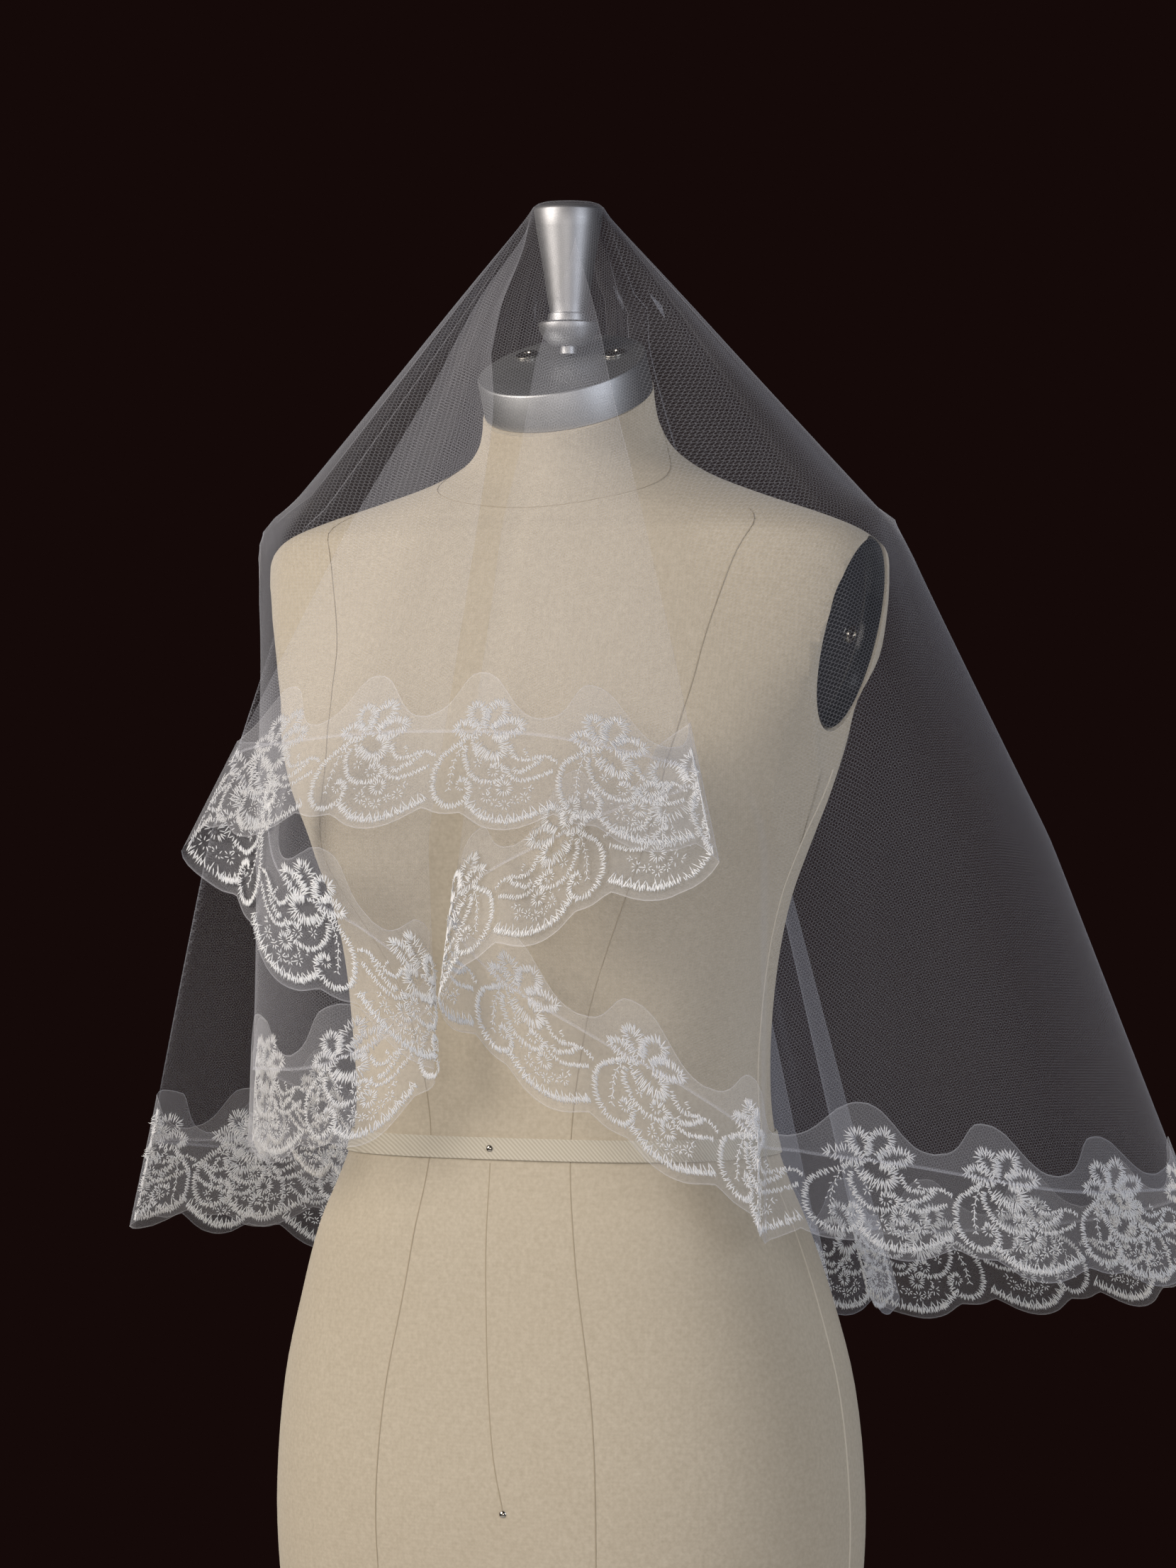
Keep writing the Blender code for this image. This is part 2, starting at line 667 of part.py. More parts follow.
def wall(name, grid, normals, faces, edge_loops, inner, outer, material):
    """Closed wall on part of a mid surface, between two distances from it."""
    used = sorted({i for face in faces for i in face})
    place = {i: k for k, i in enumerate(used)}
    count = len(used)
    points = [grid[i] + normals[i] * outer for i in used]
    points += [grid[i] + normals[i] * inner for i in used]
    shell = [tuple(place[i] for i in face) for face in faces]
    walls = shell + [tuple(i + count for i in reversed(face)) for face in shell]
    for loop in edge_loops:
        for here, ahead in zip(loop, loop[1:] + loop[:1]):
            here, ahead = place[here], place[ahead]
            walls.append((here, here + count, ahead + count, ahead))
    add(name, mesh_of(name, points, walls), material)


def band(faces, upper, lower):
    """Triangles between two rings, of equal counts or with two lower points to an upper one."""
    many = len(lower)
    for k, here in enumerate(upper):
        ahead = upper[(k + 1) % len(upper)]
        if len(upper) == many:
            last = lower[(k + 1) % many]
            faces.append((here, lower[k], last))
            faces.append((here, last, ahead))
        else:
            middle = lower[2 * k + 1]
            last = lower[(2 * k + 2) % many]
            faces.append((here, lower[2 * k], middle))
            faces.append((here, middle, ahead))
            faces.append((ahead, middle, last))


def build_veil():
    """One surface from crown to scallops, then the tulle and the edging as walls along it.

    The tulle ends at its raw edge. The edging starts above that, lies outside the tulle where
    the two overlap, and hangs below it.
    """
    runs = hem_runs()
    grid = [Vector((0, 0, VEIL_TOP_Z - CLOTH / 2))]
    rings = []

    def ring(points):
        start = len(grid)
        grid.extend(points)
        rings.append(list(range(start, len(grid))))

    rim = [drape(run, RIM_DROP) for run in runs[::4]]
    for radius, drop in CROWN_RINGS:
        ring([
            Vector((p.x, p.y, 0)).normalized() * radius + Vector((0, 0, VEIL_TOP_Z - drop))
            for p in rim
        ])
    ring(rim)
    for drop in COLLAR_DROPS:
        ring([drape(run, drop) for run in runs[::4]])
    for drop in NECK_DROPS:
        ring([drape(run, drop) for run in runs[::2]])
    for drop in SHOULDER_DROPS:
        ring([drape(run, drop) for run in runs])
    waves = [repeat_wave(k, SCALLOP_PLACE) for k in range(len(runs))]
    hems = [hem_drop(run) for run in runs]
    humps = [repeat_wave(k, HUMP_PLACE) for k in range(len(runs))]
    tops = [hem - BAND_HEIGHT - BAND_HUMP * hump for hem, hump in zip(hems, humps)]
    for share in SKIRT_SHARES:
        start = SHOULDER_DROPS[-1]
        ring([drape(run, start + (top - start) * share) for run, top in zip(runs, tops)])
    edging_start = len(rings) - 1
    ring([drape(run, hem - RAW_EDGE_ABOVE_HEM) for run, hem in zip(runs, hems)])
    tulle_end = len(rings) - 1
    ring([
        drape(run, hem - SCALLOP_DEPTH * (1 - wave))
        for run, hem, wave in zip(runs, hems, waves)
    ])

    strips = [[(0, here, rings[0][(k + 1) % len(rings[0])]) for k, here in enumerate(rings[0])]]
    for upper, lower in zip(rings, rings[1:]):
        strip = []
        band(strip, upper, lower)
        strips.append(strip)
    normals = cloth_normals(grid, rings)
    wall(
        "veil_tulle", grid, normals, sum(strips[: tulle_end + 1], []),
        [rings[tulle_end]], -CLOTH / 2, CLOTH / 2, TULLE,
    )
    wall(
        "lace_edging", grid, normals, sum(strips[edging_start + 1:], []),
        [list(reversed(rings[edging_start])), rings[-1]],
        EDGING_PROUD, EDGING_PROUD + CLOTH, EDGING,
    )


build_stand()
build_torso()
build_arm_plates()
build_neck()
build_finial()
build_tape()
build_veil()
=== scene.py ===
"""Looks of a tulle bridal veil with an embroidered edging, draped over a dress form's finial.

The form faces -Y and stands on the Z axis. Sizes are metres, and tables say so where they are
in millimetres. An azimuth is a plan angle in degrees, 0 to the front and +90 to +X. A drop is
measured down from the top of the veil. A run is a length along the hem from the front's middle.
"""
import math

import bmesh
import bpy
import numpy as np
from mathutils import Matrix, Vector


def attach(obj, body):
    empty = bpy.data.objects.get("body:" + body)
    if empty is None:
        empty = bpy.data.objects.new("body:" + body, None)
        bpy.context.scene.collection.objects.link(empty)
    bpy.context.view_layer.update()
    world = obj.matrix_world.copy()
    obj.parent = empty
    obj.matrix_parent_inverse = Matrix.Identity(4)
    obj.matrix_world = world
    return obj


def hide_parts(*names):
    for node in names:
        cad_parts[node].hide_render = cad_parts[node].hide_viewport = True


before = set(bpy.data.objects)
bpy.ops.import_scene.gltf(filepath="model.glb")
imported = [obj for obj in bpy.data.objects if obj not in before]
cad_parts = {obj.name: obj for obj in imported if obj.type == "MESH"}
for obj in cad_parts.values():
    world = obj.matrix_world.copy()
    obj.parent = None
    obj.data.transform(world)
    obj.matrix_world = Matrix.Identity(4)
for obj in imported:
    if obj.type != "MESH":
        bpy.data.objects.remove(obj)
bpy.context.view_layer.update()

MM = 0.001
GAP = 0.0003
MERGE_WITHIN = 0.00002

# Heights that everything else is worked out from, as in the solids.
WAIST_Z = 1.040
VEIL_TOP_Z = 1.5676

# Camera. The photograph is 1659 by 2212 pixels. It was taken level, from the form's left front.
CAMERA_AZIMUTH = 25
CAMERA_DISTANCE = 3.0
CAMERA_HEIGHT = 1.238
CAMERA_SIDEWAYS = 0.0111
CAMERA_LENS = 121.5
CAMERA_SENSOR = 36

# Neck plate, finial and arm plates.
PLATE_RADIUS = 0.0485
PLATE_THICKNESS = 0.022
PLATE_TILT = math.radians(25)
PLATE_TOP_Z = WAIST_Z + 0.435
PLATE_TOP_Y = -0.009
PLATE_MARGIN = 8
PLATE_TAPER = 0.45
PLATE_BEVEL = 0.0012
PLATE_BEVEL_SHARE = 0.35
PLATE_SCREWS = ((-0.6, 0.35), (0.55, 0.30))
PLATE_SCREW_PROFILE = (
    # radius, height above the plate, in millimetres
    (0, 0.6), (2.4, 0.6), (2.8, 1.2), (4.8, 1.2), (6.2, 0.8),
    (6.2, 0), (0, 0),
)
CUP_TOP_Z = VEIL_TOP_Z - 0.0013
CUP_PROFILE = (
    # radius, depth below the cup's top, in millimetres
    (0, 0), (13.5, 0.3), (17.3, 1.2), (18.9, 2.2), (19.5, 3.6),
    (18.3, 13.3), (14.6, 35.0), (11.6, 55.3), (10.5, 60.6), (10.5, 61.4),
    (11.5, 61.9), (11.7, 62.8), (11.7, 66.0), (11.2, 66.3), (0, 66.3),
)
COLLAR_PROFILE = (
    # radius, depth below the collar's top, in millimetres
    (0, 0), (16.2, 0), (17.0, 0.8), (17.0, 1.8), (16.6, 4.4),
    (14.2, 9.0), (9.7, 13.2), (4.9, 13.9),
)
STEM_RADIUS = 0.0048
ARM_MIDDLE_Z = WAIST_Z + 0.281
ARM_MIDDLE_X = 0.1705
ARM_MIDDLE_Y = 0.0075
ARM_LEAN = math.radians(14)
ARM_HALF_HEIGHT = 0.0555
ARM_HALF_DEPTH = 0.0400
ARM_RECESS = 0.010
ARM_PLATE_CLEARANCE = 0.0015
ARM_PLATE_DOME = 0.0060
ARM_PLATE_EDGE = 0.0020
ARM_LIP_DROP = 0.0008
ARM_DOME_RINGS = 12
ARM_DOME_SHARE = 0.975
ARM_LIP_SHARE = 0.990
ARM_SCREW_PROFILE = (
    # radius, height above the plate, in millimetres
    (0, 2.0), (1.6, 2.0), (1.8, 2.6), (3.4, 2.3), (5.0, 1.2),
    (5.2, 0.6), (5.2, 0), (0, 0),
)
ARM_CUT_SIZE = (0.1, 0.3, 0.3)
ARM_OVAL_STEPS = 96
ROLLED_EDGE = 0.0011
SHARP_FOLD = math.radians(50)
ARM_FLAT_ABOVE = 200
ARM_FLAT_SIDEWAYS = 0.3

# Waist tape and what is on the form.
TAPE_WIDTH = 0.012
TAPE_THICKNESS = 0.0010
TAPE_TOP_Z = WAIST_Z + 0.003
TAPE_ROLL = 0.4
PIN_PROFILE = (
    # radius, height, in millimetres
    (0, 1.1), (1.1, 0.9), (1.9, 0.2), (1.9, 0), (0, 0),
)
PIN_LIFT = 0.0002
PINS = (
    # azimuth, height above the waist in millimetres, through the tape
    (-3.0, -3.0, True),
    (7.0, -201.0, False),
)

FORM_SECTIONS = np.array((
    # millimetres: height, half_width, front, back, then front_power, back_power and lean
    (-300, 165, 104, 112, 2.3, 2.2, 0),
    (-247, 171, 111, 119, 2.3, 2.2, 0),
    (-200, 172, 114, 122, 2.3, 2.2, 0),
    (-140, 166, 110, 119, 2.4, 2.2, 0),
    (-90, 153, 104, 110, 2.6, 2.2, 0),
    (-50, 139, 99, 100, 2.9, 2.2, 0),
    (-20, 126, 93, 92, 2.9, 2.2, 0),
    (0, 120, 90, 88, 2.8, 2.2, 0),
    (25, 117, 90, 87, 2.9, 2.2, 0),
    (60, 118, 93, 90, 3.0, 2.1, 0),
    (100, 122, 98, 95, 2.9, 2.1, 0),
    (135, 130, 104, 98, 2.7, 2.1, 0),
    (165, 142, 109, 100, 2.7, 2.1, 0),
    (195, 156, 107, 101, 2.9, 2.0, 0),
    (222, 165, 101, 101, 2.9, 2.1, 0),
    (245, 172, 94, 101, 2.5, 2.1, 0),
    (270, 184, 85, 99, 2.1, 2.6, 0),
    (295, 190, 77, 94, 2.0, 2.6, 0),
    (316, 190, 71, 87, 2.0, 2.6, 0),
    (330, 186, 67, 81, 2.0, 2.6, 0),
    (340, 175, 64, 77, 2.0, 2.0, 0),
    (349, 151, 60, 72, 2.0, 2.0, 2),
    (359, 117, 57, 67, 2.0, 2.0, 5),
    (370, 83, 53, 61, 2.0, 2.0, 9),
    (381, 62, 50, 56, 2.0, 2.0, 14),
    (393, 52.5, 48.5, 51, 2.0, 2.0, 20),
    (405, 49.2, 47.8, 49, 2.0, 2.0, 24),
    (414.5, 48.3, 48.3, 48.3, 2.0, 2.0, 25),
))
FORM_SEGMENTS = 180
ROUND_THE_FORM = np.arange(FORM_SEGMENTS) * 360 / FORM_SEGMENTS
FORM_ROWS_PER_SECTION = 4
BUST_AZIMUTH = 34
BUST_HEIGHT = 158
BUST_PROUD = 24
BUST_SPREAD_AZIMUTH = 19
BUST_SPREAD_HEIGHT = 46

# Veil, as in the solids.
EDGING_OUT = 0.0013
RIM_RADIUS = 0.0226
RIM_DROP = 0.0070
SHOULDER_DROP = 0.190
BUST_DROP = 0.360
SHORT_FOLD = 0.035
HEM_SAMPLES = 3000
REPEATS = 45
COLUMNS_PER_REPEAT = 4
RAW_EDGE_ABOVE_HEM = 0.052
VEIL_CLEARS_BELOW = 510
VEIL_CLEARS_OVER = 50
VEIL_SPAN = 14
FORM_CLEARANCE = 0.0062
LAYER_STEP = 0.0028

# One repeat of the edging is charted, 70 units along the hem and in millimetres up
# from its lowest line. These are the organza's upper and lower edges.
CHART_WIDTH = 70
BAND_TOP = (
    # along, up
    (0, 63), (5, 66), (9, 71), (13, 78), (17, 82.5), (22, 84), (29, 83.5), (35, 80),
    (41, 73.5), (47, 66.5), (54, 61.5), (62, 60.5),
)
BAND_FOOT = (
    (0, 11), (4, 10), (8, 8.4), (12, 7.8), (17, 8.2), (21, 8.6), (25, 6.6), (30.5, 2.8),
    (37, 0.6), (44, 0), (51.6, 1.4), (59, 4.6), (65, 8.3),
)
CUT_UNEVENNESS = 0.9
CUT_WAVES = (
    # radians a repeat, start, share
    (2.39, 0, 0.6),
    (5.83, 1, 0.4),
)

# Finer steps of the visible cloth.
FINE_PER_REPEAT = 20
CROWN_ROWS = 9
CROWN_FLATNESS = 7
SKIRT_ROWS = 58
BAND_ROWS = 20
KINK_SOFTNESS = 0.009
KINK_STARTS_OVER = 0.05
CLEARING_SOFTNESS = 0.003
PLATE_EASES_ABOVE = 320
PLATE_EASES_OVER = 60
PLATE_SOFTNESS = 0.004
EDGE_LINE = 0.0011
EDGE_ON_POWER = 3
CREASE_FULLNESS = 0.8
ROWS_CROWD_UP = 1.25

FOLDS = (
    # name, softness, layer, crown, over, line, shoulder, bust, hem, hem_drop
    ("front", 1.0, 3, 0, 0, 0, 118, 192, 189, 354),
    ("front_right", 1.0, 3, 12, 24, 24, 120, 203, 203, 358),
    ("right_turn", 0.35, 3, 24, 46, 46, 121, 218, 226, 379),
    ("right_under", 1.0, 2, 34, 29, 29, 94, 172, 184, 402),
    ("right_centre_turn", 0.4, 1, 45, -2, -2, 80, 127, 152, 449),
    ("right_bust_near", 1.0, 0, 50, 6, 6, 74, 126, 122, 486),
    ("right_bust", 1.0, 0, 57, 28, 30, 86, 158, 134, 518),
    ("right_bust_side", 1.0, 0, 63, 46, 50, 99, 168, 158, 549),
    ("right_pleat", 0.4, 0, 67, 54, 61, 112, 176, 177, 576),
    ("right_pleat_in", 0.6, 0, 70, 57, 66, 116, 168, 164, 580),
    ("right_pleat_out", 0.5, 0, 74, 63, 71, 128, 177, 176, 582),
    ("right_side", 1.0, 0, 80, 79, 83, 184, 205, 218, 590),
    ("right_side_wide", 1.0, 0, 89, 96, 96, 190, 247, 300, 606),
    ("right_outermost", 0.6, 0, 98, 110, 110, 188, 272, 369, 611),
    ("right_back", 1.0, 0, 106, 125, 125, 158, 238, 338, 632),
    ("back_right", 1.0, 0, 115, 143, 143, 120, 190, 292, 646),
    ("flute_1_in", 0.8, 0, 123, 160, 160, 112, 166, 262, 652),
    ("flute_1", 0.7, 0, 134, 167, 167, 118, 200, 330, 654),
    ("flute_2_in", 0.8, 0, 145, 172, 172, 106, 154, 226, 655),
    ("flute_2", 0.7, 0, 157, 177, 177, 118, 208, 350, 659),
    ("flute_3_in", 0.8, 0, 168, 182, 182, 106, 156, 230, 656),
    ("flute_3", 0.7, 0, 180, 187, 187, 119, 210, 352, 660),
    ("flute_4_in", 0.8, 0, 191, 192, 192, 106, 154, 226, 655),
    ("flute_4", 0.7, 0, 203, 197, 197, 118, 208, 356, 658),
    ("flute_5_in", 0.8, 0, 214, 202, 202, 107, 156, 236, 652),
    ("flute_5", 0.7, 0, 226, 207, 207, 119, 202, 340, 650),
    ("flute_6_in", 0.8, 0, 237, 211, 211, 110, 160, 242, 642),
    ("back_left", 1.0, 1, 244, 218, 218, 128, 186, 280, 634),
    ("left_back", 1.0, 1, 250, 234, 234, 156, 214, 286, 618),
    ("left_back_wide", 1.0, 1, 257, 250, 252, 188, 226, 288, 602),
    ("left_outermost", 0.4, 1, 264, 259, 268, 191, 234, 291, 593),
    ("left_lobe", 1.0, 0, 270, 263, 256, 190, 208, 252, 594),
    ("left_back_turn", 0.5, 0, 276, 267, 238, 188, 180, 214, 590),
    ("left_arm_back", 1.0, 0, 282, 272, 258, 187, 190, 186, 566),
    ("left_arm", 1.0, 0, 289, 280, 278, 182, 187, 182, 548),
    ("left_arm_front", 0.5, 0, 298, 297, 299, 160, 172, 180, 543),
    ("left_bust", 1.0, 0, 306, 325, 325, 98, 163, 158, 538),
    ("left_bust_near", 1.0, 0, 310, 338, 338, 82, 136, 132, 520),
    ("left_centre_turn", 0.4, 1, 314, 350, 350, 88, 133, 124, 498),
    ("left_under_near", 1.0, 1, 319, 340, 340, 96, 152, 156, 464),
    ("left_under", 1.0, 2, 324, 328, 328, 108, 180, 192, 436),
    ("left_under_wide", 1.0, 2, 330, 318, 318, 118, 200, 206, 394),
    ("left_turn", 0.35, 3, 337, 314, 314, 132, 223, 226, 369),
    ("front_left", 1.0, 3, 348, 337, 337, 122, 206, 204, 357),
)

CREASES = (
    # place along the hem in repeats, from drop, to drop, width along the hem, depth: millimetres
    (1.0, 12, 190, 9, 0.8),
    (2.2, 8, 250, 12, -0.9),
    (9.7, 15, 120, 8, 0.8),
    (12.8, 10, 330, 16, 2.6),
    (14.3, 60, 470, 20, -3.2),
    (15.5, 8, 240, 12, 2.0),
    (16.6, 300, 540, 11, 3.4),
    (17.1, 360, 560, 7, -2.4),
    (18.7, 10, 420, 18, 3.0),
    (20.2, 40, 520, 15, -2.8),
    (21.9, 15, 380, 13, 2.2),
    (24.3, 60, 560, 15, 2.6),
    (26.7, 20, 350, 12, -2.4),
    (29.0, 15, 500, 17, 2.8),
    (30.9, 30, 420, 13, -2.2),
    (32.4, 8, 260, 10, 1.9),
    (33.5, 120, 520, 12, 2.4),
    (34.2, 8, 330, 9, -1.8),
    (36.1, 15, 200, 10, 1.4),
    (38.7, 8, 140, 8, 0.8),
    (42.2, 10, 180, 9, -0.8),
    (44.1, 20, 240, 12, 0.9),
)


def linear(hex_colour):
    """Linear RGBA of an sRGB hex colour."""
    channels = []
    for i in (1, 3, 5):
        c = int(hex_colour[i:i + 2], 16) / 255
        channels.append(c / 12.92 if c <= 0.04045 else ((c + 0.055) / 1.055) ** 2.4)
    return (*channels, 1.0)


def plug(tree, node, sockets):
    """Sets a node's sockets to values, or links them to other nodes' outputs."""
    for key, value in dict(sockets).items():
        if isinstance(value, bpy.types.NodeSocket):
            tree.links.new(value, node.inputs[key])
        else:
            node.inputs[key].default_value = value


def add_node(tree, kind, sockets=(), **settings):
    """Node of a tree, with its settings and its sockets."""
    made = tree.nodes.new(kind)
    for name, value in settings.items():
        setattr(made, name, value)
    plug(tree, made, sockets)
    return made


def calculated(tree, operation, *values, clamp=False):
    """Result of a Math node."""
    made = add_node(tree, "ShaderNodeMath", enumerate(values), operation=operation)
    made.use_clamp = clamp
    return made.outputs[0]


def vectors(tree, operation, *values):
    """Outputs of a Vector Math node."""
    made = add_node(tree, "ShaderNodeVectorMath", enumerate(values), operation=operation)
    return made.outputs


def ranged(tree, value, low, high, start=0.0, end=1.0):
    """Value that goes from low to high while the given one goes from start to end."""
    sockets = {0: value, 1: start, 2: end, 3: low, 4: high}
    return add_node(tree, "ShaderNodeMapRange", sockets).outputs[0]


def mixed(tree, factor, first, second):
    """Colour between a hex colour, or a node's output, and a hex colour."""
    start = linear(first) if isinstance(first, str) else first
    sockets = {0: factor, 6: start, 7: linear(second)}
    return add_node(tree, "ShaderNodeMix", sockets, data_type="RGBA").outputs[2]


def on_piece(tree):
    """Place on the piece itself."""
    return add_node(tree, "ShaderNodeTexCoord").outputs["Object"]


def on_cloth(tree):
    """Place on the flat cloth, in metres."""
    return add_node(tree, "ShaderNodeUVMap", uv_map="cloth").outputs[0]


def noise(tree, place, scale, detail=2.0, roughness=0.5):
    """Soft random pattern."""
    sockets = {"Vector": place, "Scale": scale, "Detail": detail, "Roughness": roughness}
    return add_node(tree, "ShaderNodeTexNoise", sockets).outputs[0]


def bumped(tree, height, strength, distance):
    """Normal of a small relief."""
    sockets = {"Strength": strength, "Distance": distance, "Height": height}
    return add_node(tree, "ShaderNodeBump", sockets).outputs[0]


def new_material(name):
    """Empty material with its output, and a Principled BSDF joined to it."""
    made = bpy.data.materials.new(name)
    made.use_nodes = True
    tree = made.node_tree
    tree.nodes.clear()
    shader = add_node(tree, "ShaderNodeBsdfPrincipled")
    add_node(tree, "ShaderNodeOutputMaterial", {"Surface": shader.outputs[0]})
    return made, tree, shader


def add_object(name, data):
    """Object in the scene."""
    made = bpy.data.objects.new(name, data)
    bpy.context.scene.collection.objects.link(made)
    return made


def mesh_object(name, points, faces, edges=(), smooth=False):
    """Object with a mesh of the given points and faces."""
    mesh = bpy.data.meshes.new(name)
    mesh.from_pydata(points, edges, faces)
    if smooth:
        mesh.shade_smooth()
    return add_object(name, mesh)


def grid_faces(rows, columns, rows_close=False, columns_close=True, flipped=False):
    """Faces of a grid of points listed row by row, closed round as asked."""
    faces = []
    for j in range(rows if rows_close else rows - 1):
        for k in range(columns if columns_close else columns - 1):
            here = j * columns
            below = (j + 1) % rows * columns
            ahead = (k + 1) % columns
            face = (here + k, here + ahead, below + ahead, below + k)
            faces.append(face[:1] + face[:0:-1] if flipped else face)
    return faces


# Cloth and form as functions. Arrays of runs, drops, azimuths and heights go in and out.
def compass(azimuth):
    """Unit plan direction of azimuths in degrees."""
    angle = np.radians(azimuth)
    return np.stack([np.sin(angle), -np.cos(angle)], axis=-1)


def hermite(start, end, start_slope, end_slope, share):
    """Smooth curve from start to end with the slopes given there."""
    s2 = share * share
    s3 = s2 * share
    return (
        start * (2 * s3 - 3 * s2 + 1)
        + start_slope * (s3 - 2 * s2 + share)
        + end * (3 * s2 - 2 * s3)
        + end_slope * (s3 - s2)
    )


def form_row(height):
    """Section sizes of the bodice at heights above the waist, in millimetres."""
    rows = FORM_SECTIONS
    last = len(rows) - 1
    height = np.clip(height, rows[0, 0], rows[last, 0])
    i = np.clip(np.searchsorted(rows[:, 0], height) - 1, 0, last - 1)
    before = rows[np.maximum(i - 1, 0)]
    low = rows[i]
    high = rows[i + 1]
    after = rows[np.minimum(i + 2, last)]
    step = high[:, :1] - low[:, :1]
    low_slope = (high - before) / (high[:, :1] - before[:, :1]) * step
    high_slope = (after - low) / (after[:, :1] - low[:, :1]) * step
    return hermite(low, high, low_slope, high_slope, (height[:, None] - low[:, :1]) / step)


def form_reach(azimuth, height):
    """How far the bodice reaches from the pole, in millimetres."""
    row = form_row(height)
    way = compass(azimuth)
    ahead = way[:, 1] < 0
    depth = np.where(ahead, row[:, 2], row[:, 3])
    power = np.where(ahead, row[:, 4], row[:, 5])
    sides = (np.abs(way[:, 0]) / row[:, 1]) ** power + (np.abs(way[:, 1]) / depth) ** power
    reach = sides ** (-1 / power)
    rise = np.exp(-(((height - BUST_HEIGHT) / BUST_SPREAD_HEIGHT) ** 2))
    for side in (-1, 1):
        turn = (azimuth - side * BUST_AZIMUTH + 180) % 360 - 180
        reach = reach + BUST_PROUD * rise * np.exp(-((turn / BUST_SPREAD_AZIMUTH) ** 2))
    return reach


def plate_rim(azimuth):
    """Height above the waist and reach of the neck plate's upper rim, in millimetres."""
    way = compass(azimuth)
    depth = PLATE_RADIUS * math.cos(PLATE_TILT)
    oval = ((way[:, 0] / PLATE_RADIUS) ** 2 + (way[:, 1] / depth) ** 2) ** -0.5
    rise = PLATE_RADIUS * math.sin(PLATE_TILT) * way[:, 1]
    return (PLATE_TOP_Z + rise - WAIST_Z) / MM, (PLATE_TOP_Y * way[:, 1] + oval) / MM


def bare_reach(azimuth, height):
    """Reach of what the veil passes, in millimetres: bodice, arm planes and neck plate."""
    reach = form_reach(azimuth, height)
    sideways = np.abs(compass(azimuth)[:, 0])
    rise = height - (ARM_MIDDLE_Z - WAIST_Z) / MM
    flat = (ARM_MIDDLE_X / MM + rise * math.tan(ARM_LEAN)) / np.maximum(sideways, 0.01)
    cut = (height > ARM_FLAT_ABOVE) & (sideways > ARM_FLAT_SIDEWAYS)
    reach = np.where(cut, np.minimum(reach, flat), reach)
    rim_height, rim_reach = plate_rim(azimuth)
    beside = height > rim_height - PLATE_THICKNESS / MM - PLATE_MARGIN
    over = height - rim_height - PLATE_MARGIN
    reach = np.where(beside & (over <= 0), np.maximum(reach, rim_reach), reach)
    return np.where(over > 0, rim_reach - over * PLATE_TAPER, reach)


TABLE = np.array([fold[1:] for fold in FOLDS], float)
SOFTNESS, LAYERS, CROWN, OVER, LINE, SHOULDER, BUST, HEM, HEM_DROP = TABLE.T


def fold_point(k, drop):
    """Plan points of folds k at drops, on straight runs between their reaches."""
    rim = compass(CROWN[k]) * RIM_RADIUS
    shoulder = compass(OVER[k]) * SHOULDER[k, None] * MM
    bust = compass(LINE[k]) * BUST[k, None] * MM
    hem = compass(LINE[k]) * HEM[k, None] * MM
    hem_drop = HEM_DROP[k] * MM
    short = hem_drop <= BUST_DROP + SHORT_FOLD
    middle_drop = np.where(short, hem_drop, BUST_DROP)
    middle = np.where(short[:, None], hem, bust)

    def between(start, end, low, high):
        share = (drop - low) / (high - low)
        return start + (end - start) * share[:, None]

    upper = between(rim, shoulder, RIM_DROP, SHOULDER_DROP)
    chest = between(shoulder, middle, SHOULDER_DROP, middle_drop)
    skirt = between(bust, hem, BUST_DROP, np.where(short, BUST_DROP + 1, hem_drop))
    below_bust = (drop > middle_drop) & ~short
    plan = np.where(below_bust[:, None], skirt, chest)
    return np.where((drop <= SHOULDER_DROP)[:, None], upper, plan)


def hem_marks():
    """Running length of the hem at each fold, and the whole length round."""
    k = np.arange(len(FOLDS))
    plan = fold_point(k, HEM_DROP * MM)
    feet = np.column_stack([plan, -HEM_DROP * MM])
    steps = np.linalg.norm(np.roll(feet, -1, axis=0) - feet, axis=1)
    return np.concatenate([[0], np.cumsum(steps)])


MARKS = hem_marks()
HEM_RUN = MARKS[-1]
WIDTHS = np.diff(MARKS)


def between_folds(value, softness, run):
    """Smooth closed curve through value(k) at each fold k, at runs."""
    count = len(FOLDS)
    run = run % HEM_RUN
    i = np.clip(np.searchsorted(MARKS, run, side="right") - 1, 0, count - 1)
    after = (i + 1) % count
    values = [value((i + step) % count) for step in (-1, 0, 1, 2)]

    def column(numbers):
        return numbers[:, None] if values[0].ndim == 2 else numbers

    width = column(WIDTHS[i])
    first = (values[2] - values[0]) / column(WIDTHS[i - 1] + WIDTHS[i]) * column(softness[i])
    last = (values[3] - values[1]) / column(WIDTHS[i] + WIDTHS[after]) * column(softness[after])
    share = column((run - MARKS[i]) / WIDTHS[i])
    return hermite(values[1], values[2], first * width, last * width, share)


EVEN = np.ones(len(FOLDS))


def hem_drop(run):
    """Drop of the hem's mean line."""
    return between_folds(lambda k: HEM_DROP[k] * MM, EVEN, run)


